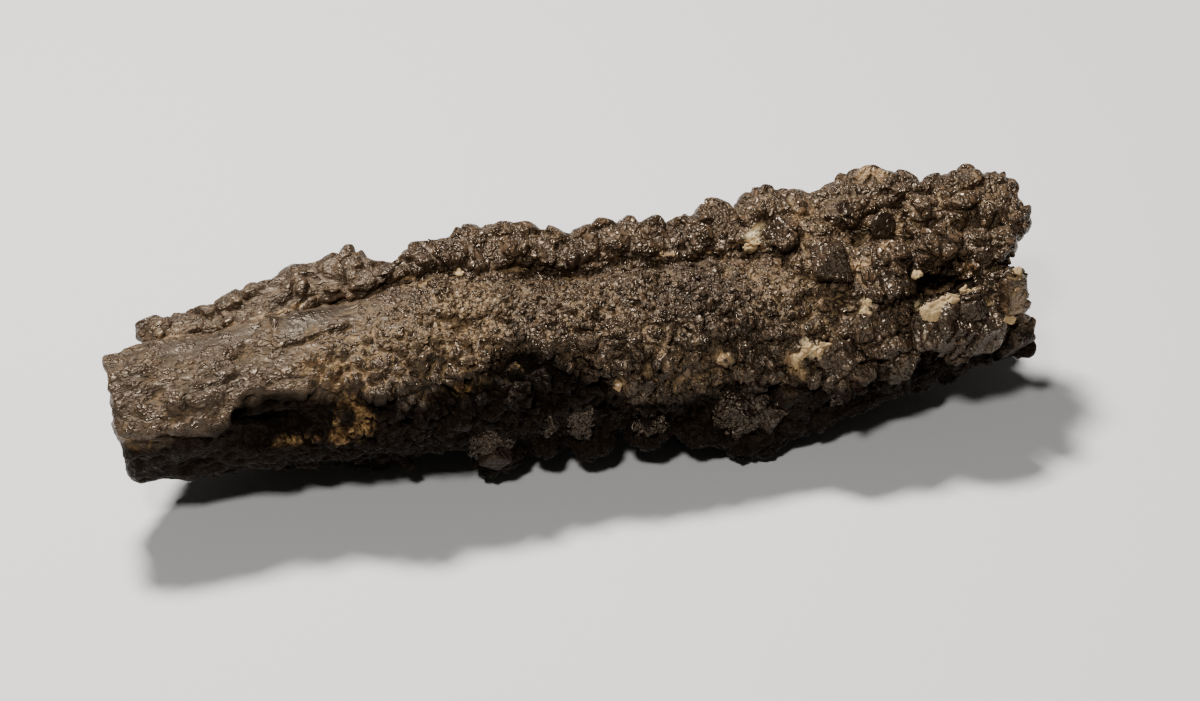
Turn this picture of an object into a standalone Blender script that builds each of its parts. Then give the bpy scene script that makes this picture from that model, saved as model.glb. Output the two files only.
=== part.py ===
"""Prophecy stone: a rod of brown iron oxide that grew as one piece, so it is one closed solid.

The rod lies along X and is broken off at its worn -X end. A crest of rounded knobs runs along its
upper back edge, a shoulder along its front stands over an undercut with a pit in it, and lumps, cubes
and eight-sided crystals crowd its +X end. The stone rests on the flats of a few low lumps, and the
origin is under its middle.
"""

import math
import random

import bmesh
import bpy
from mathutils import Euler, Matrix, Vector

MM = 0.001
NODE_NAME = "prophecy_stone"

# The rod, from its worn end to its crystal end, in mm: x, centre y, centre z, half depth, half height.
ROD_STATIONS = [
    (-57.0, 0.0, 13.4, 8.2, 7.2),
    (-52.0, 0.0, 13.2, 8.6, 7.6),
    (-43.0, 0.0, 12.9, 9.2, 8.0),
    (-35.0, 0.0, 12.8, 9.8, 8.5),
    (-26.0, 0.0, 13.0, 10.7, 9.3),
    (-17.0, 0.0, 13.0, 11.3, 9.9),
    (-7.0, 0.0, 12.3, 11.1, 9.8),
    (4.0, 0.0, 11.7, 10.8, 9.5),
    (16.0, 0.0, 11.3, 10.8, 9.3),
    (27.0, 0.0, 11.8, 10.4, 8.8),
    (35.0, 0.0, 12.4, 9.8, 8.2),
    (42.0, 0.2, 13.0, 8.9, 7.6),
    (47.0, 0.6, 13.2, 8.2, 7.0),
    (49.5, 0.8, 13.2, 7.4, 6.4),
]
ROD_SIDES = 18
# How far each side of the rod stands out, as a share of the section: a shoulder above an undercut.
ROD_PROFILE = [
    (-180, 1.00),
    (-120, 1.00),
    (-80, 0.96),
    (-40, 0.90),
    (-12, 0.93),
    (16, 1.09),
    (42, 1.02),
    (80, 0.97),
    (112, 0.90),
    (150, 1.00),
    (180, 1.00),
]
# The worn end is broken off along three planes: a point on each, and the direction it faces.
END_BREAKS = [
    ((-49.2, 0.0, 20.0), (-1.0, 0.03, -0.16)),
    ((-49.2, 0.0, 20.0), (-1.0, 0.62, -0.30)),
    ((-49.2, 0.0, 19.4), (-0.47, 0.58, 0.67)),
]

# Knobs, lumps and crystals are placed by x, clock and lift. The clock is in degrees round the rod:
# 0 is the front (-Y), 90 the top, 180 the back, -90 the underside. Lift is how far the centre stands
# out of the rod's surface. Then come the half sizes along, across and out, and a turn about "out".
CREST_KNOBS = [
    (-42.6, 122, 0.3, 2.6, 2.2, 1.7, 8),
    (-36.4, 123, 0.0, 4.4, 2.3, 1.9, 0),
    (-32.4, 121, 0.9, 4.4, 2.6, 2.2, 5),
    (-28.0, 118, 0.8, 3.2, 2.5, 2.1, -10),
    (-26.4, 128, 1.6, 3.2, 2.8, 2.4, 0),
    (-22.8, 125, 2.0, 3.2, 3.0, 2.6, 10),
    (-20.6, 116, 0.6, 1.9, 1.6, 1.5, 0),
    (-18.4, 120, 0.2, 2.3, 2.4, 1.8, 0),
    (-13.0, 125, 1.2, 3.1, 2.9, 2.5, 0),
    (-9.9, 118, 0.6, 2.1, 2.0, 1.9, 20),
    (-8.2, 127, 2.1, 3.0, 2.9, 2.6, 0),
    (-6.8, 114, 0.3, 2.8, 1.6, 1.6, 0),
    (-4.2, 124, 2.9, 3.3, 3.0, 3.0, 12),
    (0.2, 124, 2.2, 2.5, 2.6, 2.3, 0),
    (2.4, 115, 0.7, 2.7, 1.9, 1.7, -8),
    (5.6, 123, 2.0, 2.9, 2.7, 2.7, 0),
    (10.8, 122, 1.8, 3.3, 2.7, 2.5, 6),
    (13.0, 113, 0.5, 3.0, 1.6, 1.6, 10),
    (15.0, 125, 2.1, 2.6, 2.7, 2.4, 0),
    (18.9, 123, 3.2, 2.8, 2.9, 2.9, 0),
    (20.0, 114, 0.8, 2.9, 2.0, 1.9, 0),
    (23.4, 123, 3.9, 2.6, 2.8, 2.7, 0),
    (29.2, 122, 2.5, 2.9, 2.9, 2.5, 0),
    (34.0, 120, 4.7, 3.4, 3.3, 3.1, 0),
    (38.4, 118, 4.3, 2.9, 2.8, 2.6, 0),
    (42.6, 116, 3.0, 2.8, 3.0, 2.5, 0),
    (46.4, 112, 3.8, 3.2, 3.2, 2.8, 0),
    (49.2, 108, 3.3, 2.8, 2.8, 2.7, 0),
]
END_LUMPS = [
    (23.4, 104, 0.8, 2.3, 2.4, 1.9, 0),
    (31.8, 106, 1.7, 2.9, 2.4, 2.2, 30),
    (34.6, 92, 0.6, 1.2, 2.1, 1.9, 8),
    (36.8, 104, 1.6, 2.3, 2.3, 2.0, 0),
    (29.4, 92, 0.6, 2.2, 1.9, 1.6, 0),
    (32.2, 66, 0.4, 3.0, 2.4, 1.8, 20),
    (42.0, 92, 1.7, 3.6, 3.0, 2.9, 0),
    (46.6, 84, 1.7, 2.9, 3.0, 2.5, 0),
    (40.4, 66, 0.7, 2.9, 2.2, 2.1, 0),
    (45.8, 60, 0.9, 2.8, 2.1, 2.2, 0),
    (48.8, 84, 1.4, 2.8, 3.0, 2.6, 0),
    (32.0, 44, 0.3, 3.0, 2.6, 1.8, 0),
    (30.0, 22, 0.0, 3.4, 2.4, 1.9, -12),
    (23.0, -22, 0.2, 3.0, 2.8, 2.2, 0),
    (33.4, 3, 0.2, 2.4, 2.5, 1.8, 0),
    (36.6, 155, 0.6, 3.4, 3.4, 2.4, 0),
    (44.8, 150, 0.6, 3.2, 3.4, 2.4, 0),
    (26.5, 160, 0.5, 3.2, 3.0, 2.0, 0),
]
HANGING_LUMPS = [
    (18.4, -50, 1.3, 5.0, 4.1, 4.0, 0),
    (21.6, -44, 1.0, 3.4, 3.0, 3.2, 0),
    (-8.6, -58, 0.9, 2.9, 2.4, 2.2, 0),
    (-4.2, -46, 0.8, 1.6, 1.5, 1.4, 0),
    (0.8, -46, 1.1, 2.6, 1.9, 1.8, 0),
    (7.0, -38, 1.0, 3.0, 1.5, 1.8, 25),
    (12.6, -40, 1.2, 2.8, 2.2, 2.0, 0),
    (25.8, -44, 1.3, 3.2, 2.8, 2.5, 0),
    (30.2, -38, 1.4, 3.0, 2.6, 2.4, 0),
    (34.0, -36, 1.2, 2.6, 2.2, 2.1, 0),
    (27.6, -62, 0.4, 3.3, 3.0, 2.3, 0),
    (37.0, -44, 0.7, 3.0, 2.8, 2.2, 0),
    (42.4, -34, 0.7, 3.0, 2.4, 2.0, 0),
    (-8.0, 166, 0.7, 3.8, 3.0, 1.9, 20),
    (14.0, 172, 0.7, 3.6, 3.2, 2.0, -15),
    (-26.0, 162, 0.5, 3.4, 2.6, 1.7, 0),
]
# Broad swellings under the rod, which it lies on.
BELLY_LUMPS = [
    (-38.0, -104, 0.0, 6.0, 4.2, 1.9, 10),
    (-29.0, -118, 1.3, 7.0, 4.8, 3.0, -8),
    (-21.0, -104, 0.7, 5.4, 4.4, 3.0, 15),
    (-15.0, -116, 1.2, 6.4, 4.8, 3.4, 0),
    (-3.0, -106, 0.1, 6.6, 4.8, 2.9, 12),
    (8.0, -120, 0.6, 5.6, 4.4, 2.8, -14),
    (17.0, -106, 0.0, 5.0, 4.4, 2.4, 0),
    (26.0, -114, 0.5, 6.4, 4.6, 3.2, 8),
    (36.0, -104, 0.4, 5.4, 4.2, 3.2, -10),
    (43.0, -118, 0.2, 4.2, 3.8, 2.8, 0),
]

# Crystals: x, clock, lift, half edge, then the turns about x, y and z that show their corners.
CUBES = [
    (40.6, 8, 0.6, 2.9, 18, 34, 22),
    (44.2, -2, 0.4, 2.3, 40, 22, 50),
    (46.2, -22, 0.2, 2.8, 40, 10, 30),
    (46.2, 28, -0.4, 2.6, 12, 58, 10),
    (26.9, 0, 0.6, 2.2, 30, 25, 50),
    (32.2, -14, 0.4, 2.0, 55, 20, 15),
    (38.4, 88, 2.1, 1.8, 35, 15, 20),
    (25.6, 103, 1.2, 1.7, 20, 50, 10),
    (33.6, 50, 0.1, 2.5, 8, 12, 70),
    (32.0, 28, -0.2, 2.2, 25, 42, 5),
    (47.2, -140, 0.0, 2.5, 25, 40, 60),
    (38.0, 176, 0.8, 2.4, 50, 30, 15),
    (46.0, 176, 0.4, 2.2, 15, 20, 70),
    (20.0, -158, 0.6, 2.2, 40, 35, 20),
    (33.0, -160, 0.5, 2.5, 65, 15, 35),
    (42.0, -80, 0.3, 2.5, 30, 60, 25),
    (-4.0, -170, 0.4, 1.9, 20, 35, 45),
    (-16.0, 178, 0.3, 1.7, 60, 25, 10),
    (12.0, -80, 0.3, 2.0, 35, 15, 65),
]
# Eight-sided crystals: x, clock, lift, half height, turn about "out".
OCTAHEDRA = [
    (27.0, 76, 0.9, 3.3, 20),
    (43.6, 45, 0.5, 2.4, 40),
    (21.0, 108, 0.9, 2.3, 10),
    (-14.0, 112, 0.5, 1.8, 30),
    (10.0, 158, 0.5, 2.4, 15),
    (30.0, 142, 0.8, 2.6, 35),
]

# Hollows: x, clock, lift of the cutter's centre, then its half sizes along, across and out.
HOLLOWS = [
    (-33.0, 1, 1.0, 6.0, 3.0, 3.8),
    (-42.0, -24, 3.6, 10.0, 3.6, 4.4),
    (-16.0, -20, 3.8, 11.0, 3.4, 4.4),
    (6.0, -22, 3.6, 9.0, 3.0, 4.2),
    (41.2, 38, 0.9, 5.2, 1.6, 4.0),
    (37.6, 22, 1.2, 1.8, 3.2, 3.0),
    (49.6, 52, 1.6, 2.4, 2.2, 2.6),
    (-12.0, 148, 3.2, 8.0, 2.6, 3.8),
    (20.0, 146, 2.8, 6.5, 2.4, 3.6),
    (-36.0, 176, 3.0, 7.5, 3.0, 3.8),
    (42.0, -165, 2.2, 4.0, 3.0, 3.4),
]

# Bosses: middling lumps scattered over the back, from one clock to another.
BOSS_COUNT = 46
BOSS_CLOCKS = (142.0, 262.0)
BOSS_SIZES = (1.4, 3.4)
BOSS_STRETCH = [(1.0, 1.6), (0.8, 1.1), (0.5, 0.8)]
BOSS_SEED = 17

# Grains: small lumps that cover the rod, more of them and larger towards the crystal end.
GRAIN_COUNT = 300
GRAIN_SMALLEST = 0.9
GRAIN_LARGEST = 1.5
GRAIN_LIFTS = (-0.6, -0.1)
GRAIN_SEED = 41
WORN_END_X = -36.0
CRYSTAL_END_X = 24.0

# Each cube has a smaller twin grown into it: its share of the size, its shift and its twist.
TWIN_SIZE = 0.78
TWIN_SHIFT = (0.45, -0.15, 0.42)
TWIN_TWIST = 9.0

# How uneven a knob is, and how wide the root under a raised one, as shares of its size.
KNOB_ROUGHNESS = 0.07
ROOT_WIDTH = 1.05

# The skin's grid, then the ground's unevenness: name, kind, width of its features and their height.
FUSE_VOXEL = 0.45 * MM
RELIEF = [
    ("wide", "CLOUDS", 8.0, 1.2),
    ("middle", "CLOUDS", 4.0, 0.9),
    ("narrow", "CLOUDS", 1.8, 0.4),
]
WORN_SHARE = 0.6
FACET_LIMIT = 9400
# How much of the lowest lumps is flattened, so that the stone lies still.
FLOOR_CUT = 0.7 * MM


def look_up(table, x):
    """The table's values at x, in between the two rows on either side of it."""
    for low, high in zip(table, table[1:]):
        if x <= high[0] or high is table[-1]:
            share = min(1.0, max(0.0, (x - low[0]) / (high[0] - low[0])))
            return [a + (b - a) * share for a, b in zip(low[1:], high[1:])]
    return list(table[-1][1:])


def section_at(x, clock):
    """Centre (y, z) and half sizes (depth, height) of the rod at x and clock, all in mm."""
    centre_y, centre_z, half_depth, half_height = look_up(ROD_STATIONS, x)
    stands_out = look_up(ROD_PROFILE, clock)[0]
    return centre_y, centre_z, half_depth * stands_out, half_height * stands_out


def on_rod(x, clock, lift):
    """A matrix at that place on the rod, in metres: its X runs along the rod and its Z points out."""
    clock = (clock + 180.0) % 360.0 - 180.0
    centre_y, centre_z, half_depth, half_height = section_at(x, clock)
    turn = math.radians(clock)
    surface = Vector((x, centre_y - half_depth * math.cos(turn), centre_z + half_height * math.sin(turn)))
    out = Vector((0.0, -math.cos(turn) / half_depth, math.sin(turn) / half_height)).normalized()
    along = Vector((1.0, 0.0, 0.0))
    axes = Matrix((along, out.cross(along), out)).transposed().to_4x4()
    return Matrix.Translation((surface + out * lift) * MM) @ axes


def stretched(along, across, out):
    """A matrix that stretches a unit shape to these half sizes in mm."""
    return Matrix.Diagonal((along * MM, across * MM, out * MM, 1.0))


def add_object(name, bm, collection):
    """Links a new object made from the bmesh, which it frees."""
    mesh = bpy.data.meshes.new(name)
    bm.to_mesh(mesh)
    bm.free()
    obj = bpy.data.objects.new(name, mesh)
    collection.objects.link(obj)
    return obj


def add_cutter(name, bm, collection):
    """Links a cutter, which is not part of the finished stone."""
    cutter = add_object(name, bm, collection)
    cutter.hide_render = True
    cutter.display_type = "WIRE"
    return cutter


def add_rod(collection):
    """The rod: a cylinder along X, cut into rings that follow the stations, then rounded."""
    bm = bmesh.new()
    first, last = ROD_STATIONS[0][0], ROD_STATIONS[-1][0]
    middle = Matrix.Translation(((first + last) / 2 * MM, 0.0, 0.0))
    bmesh.ops.create_cone(
        bm,
        cap_ends=True,
        segments=ROD_SIDES,
        radius1=MM,
        radius2=MM,
        depth=(last - first) * MM,
        matrix=middle @ Matrix.Rotation(math.pi / 2, 4, "Y"),
    )
    for station in ROD_STATIONS[1:-1]:
        bmesh.ops.bisect_plane(
            bm,
            geom=bm.verts[:] + bm.edges[:] + bm.faces[:],
            plane_co=(station[0] * MM, 0.0, 0.0),
            plane_no=(1.0, 0.0, 0.0),
        )
    for vert in bm.verts:
        clock = math.degrees(math.atan2(vert.co.z, -vert.co.y))
        centre_y, centre_z, half_depth, half_height = section_at(vert.co.x / MM, clock)
        vert.co.y = centre_y * MM + vert.co.y * half_depth
        vert.co.z = centre_z * MM + vert.co.z * half_height
    rod = add_object("rod", bm, collection)
    rounding = rod.modifiers.new("rounding", "SUBSURF")
    rounding.levels = 2
    rounding.render_levels = 2
    bake(rod)
    return rod


def add_lump(bm, place, half_sizes, rng, rough=KNOB_ROUGHNESS):
    """One knobbly lump: a small round ball, stretched, with its corners moved in and out a little."""
    made = bmesh.ops.create_icosphere(bm, subdivisions=2, radius=1.0)
    for vert in made["verts"]:
        vert.co *= 1.0 + rng.uniform(-rough, rough)
    bmesh.ops.transform(bm, matrix=place @ stretched(*half_sizes), verts=made["verts"])


def add_lumps(name, rows, collection, seed):
    """An object of lumps from rows of x, clock, lift, three half sizes and a turn about "out".

    A lump that stands clear of the rod gets a root down to it.
    """
    rng = random.Random(seed)
    bm = bmesh.new()
    for x, clock, lift, along, across, out, turn in rows:
        twist = Matrix.Rotation(math.radians(turn), 4, "Z")
        add_lump(bm, on_rod(x, clock, lift) @ twist, (along, across, out), rng)
        if lift > 0.5 * out:
            root = (ROOT_WIDTH * along, ROOT_WIDTH * across, lift)
            add_lump(bm, on_rod(x, clock, 0.0) @ twist, root, rng)
    return add_object(name, bm, collection)


def add_bosses(collection):
    """Bosses scattered over the back, half sunk in it."""
    rng = random.Random(BOSS_SEED)
    rows = []
    for _ in range(BOSS_COUNT):
        x = rng.uniform(WORN_END_X, ROD_STATIONS[-1][0] - 2.0)
        size = rng.triangular(*BOSS_SIZES, BOSS_SIZES[0])
        stretch = [size * rng.uniform(*shares) for shares in BOSS_STRETCH]
        rows.append((x, rng.uniform(*BOSS_CLOCKS), 0.15 * size, *stretch, rng.uniform(-60.0, 60.0)))
    return add_lumps("bosses", rows, collection, BOSS_SEED)


def add_grains(collection):
    """Grains scattered round the rod, thin on the worn end and thick towards the crystal end."""
    rng = random.Random(GRAIN_SEED)
    bm = bmesh.new()
    made = 0
    while made < GRAIN_COUNT:
        x = rng.uniform(ROD_STATIONS[1][0], ROD_STATIONS[-2][0])
        share = min(1.0, max(0.0, (x - WORN_END_X) / (CRYSTAL_END_X - WORN_END_X)))
        clock = rng.uniform(-180.0, 180.0)
        if rng.random() > 0.08 + 0.92 * share:
            continue
        size = rng.uniform(GRAIN_SMALLEST, GRAIN_SMALLEST + (GRAIN_LARGEST - GRAIN_SMALLEST) * share)
        place = on_rod(x, clock, rng.uniform(*GRAIN_LIFTS) * size)
        stretch = (size * rng.uniform(0.9, 1.5), size, size * rng.uniform(0.7, 1.0))
        add_lump(bm, place @ Matrix.Rotation(rng.uniform(0.0, math.pi), 4, "Z"), stretch, rng, 0.25)
        made += 1
    return add_object("grains", bm, collection)


def add_crystals(collection):
    """Cubes with their twins, and eight-sided crystals, each at its own tilt."""
    bm = bmesh.new()
    for x, clock, lift, half_edge, *turns in CUBES:
        tilt = Euler([math.radians(turn) for turn in turns]).to_matrix().to_4x4()
        place = on_rod(x, clock, lift) @ tilt
        bmesh.ops.create_cube(bm, size=2 * half_edge * MM, matrix=place)
        shift = Matrix.Translation(Vector(TWIN_SHIFT) * half_edge * MM)
        twist = Matrix.Rotation(math.radians(TWIN_TWIST), 4, "Z")
        bmesh.ops.create_cube(bm, size=2 * TWIN_SIZE * half_edge * MM, matrix=place @ shift @ twist)
    for x, clock, lift, half_height, turn in OCTAHEDRA:
        place = on_rod(x, clock, lift) @ Matrix.Rotation(math.radians(turn), 4, "Z")
        for shape in (stretched(1.0, 1.0, 1.0), stretched(1.1, 1.1, 0.55)):
            bmesh.ops.create_uvsphere(
                bm, u_segments=4, v_segments=2, radius=half_height, matrix=place @ shape
            )
    return add_object("crystals", bm, collection)


def add_hollows(collection):
    """The cutters of the hollows: stretched balls."""
    for number, (x, clock, lift, along, across, out) in enumerate(HOLLOWS):
        bm = bmesh.new()
        place = on_rod(x, clock, lift) @ stretched(along, across, out)
        bmesh.ops.create_icosphere(bm, subdivisions=3, radius=1.0, matrix=place)
        add_cutter(f"hollow_{number}", bm, collection)


def add_block_cutter(name, place, sizes, collection):
    """A block whose top face lies at the place, with the block under it. Its sizes are in mm."""
    bm = bmesh.new()
    hang = Matrix.Translation((0.0, 0.0, -sizes[2] * MM / 2))
    bmesh.ops.create_cube(bm, size=1.0, matrix=place @ hang @ stretched(*sizes))
    return add_cutter(name, bm, collection)


def add_end_breaks(collection):
    """The blocks that break the worn end off along its planes."""
    for number, (point, faces) in enumerate(END_BREAKS):
        turn = (-Vector(faces)).to_track_quat("Z", "Y").to_matrix().to_4x4()
        place = Matrix.Translation(Vector(point) * MM) @ turn
        add_block_cutter(f"end_break_{number}", place, (60.0, 60.0, 14.0), collection)


def bake(obj):
    """Replaces the object's mesh by what its modifiers make of it, and clears them."""
    graph = bpy.context.evaluated_depsgraph_get()
    made = bpy.data.meshes.new_from_object(obj.evaluated_get(graph))
    obj.modifiers.clear()
    obj.data = made


def join(target, others):
    """Moves the other objects' meshes into the target's."""
    bm = bmesh.new()
    for obj in (target, *others):
        bm.from_mesh(obj.data)
    bm.to_mesh(target.data)
    bm.free()
    for obj in others:
        bpy.data.objects.remove(obj)


def fuse(stone):
    """Grows everything together into one skin."""
    remesh = stone.modifiers.new("fuse", "REMESH")
    remesh.mode = "VOXEL"
    remesh.voxel_size = FUSE_VOXEL
    bake(stone)


def cut_away(stone, cutters):
    """Cuts all of the collection's cutters from the stone."""
    boolean = stone.modifiers.new("cut_away", "BOOLEAN")
    boolean.operation = "DIFFERENCE"
    boolean.solver = "EXACT"
    boolean.operand_type = "COLLECTION"
    boolean.collection = cutters
    bake(stone)


def weigh_ground(stone):
    """Weighs how uneven the ground is: least at the worn end, and fully so at the crystal end."""
    rough = stone.vertex_groups.new(name="rough")
    for vert in stone.data.vertices:
        share = (vert.co.x / MM - WORN_END_X) / (CRYSTAL_END_X - WORN_END_X)
        rough.add([vert.index], max(WORN_SHARE, min(1.0, share)), "REPLACE")


def add_relief(stone):
    """Uneven ground over the whole surface, at scales from wide to narrow."""
    weigh_ground(stone)
    for name, kind, width, height in RELIEF:
        texture = bpy.data.textures.new(name, kind)
        texture.noise_scale = width * MM
        texture.noise_depth = 2
        displace = stone.modifiers.new(name, "DISPLACE")
        displace.texture = texture
        displace.texture_coords = "LOCAL"
        displace.vertex_group = "rough"
        displace.strength = height * MM
        displace.mid_level = 0.5
    bake(stone)


def thin(stone):
    """Keeps the facets that carry the shape."""
    stone.data.calc_loop_triangles()
    decimate = stone.modifiers.new("thin", "DECIMATE")
    decimate.ratio = FACET_LIMIT / len(stone.data.loop_triangles)
    decimate.use_collapse_triangulate = True
    bake(stone)


def stand_on_floor(stone, collection):
    """Cuts the lowest lumps off flat, then moves the stone so that the origin is under its middle."""
    floor = min(vert.co.z for vert in stone.data.vertices) + FLOOR_CUT
    add_block_cutter("floor", Matrix.Translation((0.0, 0.0, floor)), (130.0, 50.0, 10.0), collection)
    cut_away(stone, collection)
    corners = [vert.co for vert in stone.data.vertices]
    middle = [(min(co[axis] for co in corners) + max(co[axis] for co in corners)) / 2 for axis in (0, 1)]
    stone.data.transform(Matrix.Translation((-middle[0], -middle[1], -floor)))


def finish_material(stone):
    """Dark brown iron oxide with a dull metallic sheen."""
    material = bpy.data.materials.new("iron_oxide")
    material.use_nodes = True
    shader = material.node_tree.nodes["Principled BSDF"]
    shader.inputs["Base Color"].default_value = (0.072, 0.045, 0.030, 1.0)
    shader.inputs["Roughness"].default_value = 0.45
    shader.inputs["Metallic"].default_value = 0.2
    stone.data.materials.clear()
    stone.data.materials.append(material)


def main():
    """Builds the stone in a scene of its own."""
    for obj in list(bpy.data.objects):
        bpy.data.objects.remove(obj)
    parts, cutters, floor = [bpy.data.collections.new(name) for name in (NODE_NAME, "cutters", "floor")]
    for collection in (parts, cutters, floor):
        bpy.context.scene.collection.children.link(collection)

    stone = add_rod(parts)
    grown = [
        add_lumps("crest", CREST_KNOBS, parts, seed=3),
        add_lumps("end", END_LUMPS, parts, seed=5),
        add_lumps("hanging", HANGING_LUMPS, parts, seed=7),
        add_lumps("belly", BELLY_LUMPS, parts, seed=11),
        add_bosses(parts),
        add_grains(parts),
    ]
    join(stone, grown)
    fuse(stone)
    add_hollows(cutters)
    add_end_breaks(cutters)
    cut_away(stone, cutters)
    add_relief(stone)
    join(stone, [add_crystals(parts)])
    fuse(stone)
    thin(stone)
    stand_on_floor(stone, floor)
    stone.name = NODE_NAME
    stone.data.name = NODE_NAME
    finish_material(stone)


main()
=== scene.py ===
"""Prophecy stone: a rod of dark brown iron oxide, with its grown relief, its dust and its chalk.

The part's solid is copied and given a fine skin for the rod. The crest of knobs, the crowd of
crystals and the crust of grains are grown on it as pieces of their own, each kind of ground is marked
for the finish, and what is left of the chalk lies in the hollows.
"""

import logging
import math
import random
from dataclasses import dataclass, field
from enum import Enum

import bmesh
import bpy
import numpy as np
from mathutils import Euler, Matrix, Vector


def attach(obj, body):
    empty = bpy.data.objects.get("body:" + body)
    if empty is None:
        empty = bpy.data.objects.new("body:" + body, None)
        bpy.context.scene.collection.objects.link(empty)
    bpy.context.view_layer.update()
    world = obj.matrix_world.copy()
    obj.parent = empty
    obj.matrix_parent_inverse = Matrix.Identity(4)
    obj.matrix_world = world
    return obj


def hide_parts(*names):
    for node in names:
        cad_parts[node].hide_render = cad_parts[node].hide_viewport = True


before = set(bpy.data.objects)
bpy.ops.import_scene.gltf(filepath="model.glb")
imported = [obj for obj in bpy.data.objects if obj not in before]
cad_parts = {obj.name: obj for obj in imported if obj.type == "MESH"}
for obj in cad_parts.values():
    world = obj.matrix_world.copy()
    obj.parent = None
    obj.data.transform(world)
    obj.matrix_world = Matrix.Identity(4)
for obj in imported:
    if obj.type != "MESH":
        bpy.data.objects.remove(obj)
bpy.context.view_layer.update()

logging.basicConfig(level=logging.INFO, format="%(name)s: %(message)s")
log = logging.getLogger("prophecy_stone")

MM = 0.001
NODE = "prophecy_stone"

# Patterns: the largest whole number of a hash, a distance beyond every other, how far a grain's middle
# strays in its cell, and a length too small to matter.
LARGEST_HASH = 0x7FFFFFFF
FAR = 99.0
UNEVEN_GRAINS = 0.84
TINY = 1e-9

# Relief: how wide each kind is, in mm.
GRAIN_WIDTH = 0.80
BLOCK_WIDTH = 1.45
BOULDER_WIDTH = 2.7
PLATE_WIDTH = 0.85

# Lumps: how many flats each has, how near its middle they may lie, how much of what stands beyond them
# is taken off, how far a block and a knob may turn, in radians, and how many patterns make them uneven.
FLATS = 5
FLAT_REACH = (0.70, 0.95)
FLATTENED = 0.9
BLOCK_TURN = 0.7
KNOB_TURN = 3.0
MOST_SALTS = 90_000

# How close two points of the solid are the same one, in metres.
SAME_POINT = 1e-6


class Lump(Enum):
    """The kinds of lump that grew on the rod."""

    KNOB = "a knob"
    BLOCK = "a block with blunt corners"


class Tool(Enum):
    """The ways to carve along a path."""

    GROOVE = "cut in along the path"
    RIDGE = "raise the path"
    SHELF = "raise the left side of the path and cut the right side in"
    DENT = "push a wide hollow in"


class Ground(Enum):
    """The kinds of stain and dust, each with the name of its mark."""

    OCHRE = "ochre"
    TAN = "tan"
    CHALK = "chalk"
    CALM = "calm"


class Crystal(Enum):
    """The kinds of crystal."""

    PYRAMID = "two stepped pyramids, base to base"
    CUBE = "a cube with stepped faces"
    DISC = "a thin rounded disc"
    SHEAF = "plates side by side"


Colour = tuple[float, float, float, float]
Place = tuple[float, float, float]
Path = tuple[Place, ...]
Zone = tuple[tuple[float, float], tuple[float, float]]
Sizes = tuple[float, float, float, float, float, float]
LumpRows = tuple[tuple[Lump, float, float, float, float, float, float], ...]
CrystalRows = tuple[tuple[Crystal, Place, Place, Place], ...]


def alike(kind: Lump, sizes: tuple[Sizes, ...]) -> LumpRows:
    """Makes rows of lumps of one kind.

    Args:
        kind: their kind.
        sizes: middle and half sizes of each, in mm.

    Returns:
        A row for each.
    """
    return tuple((kind, *row) for row in sizes)


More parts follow.
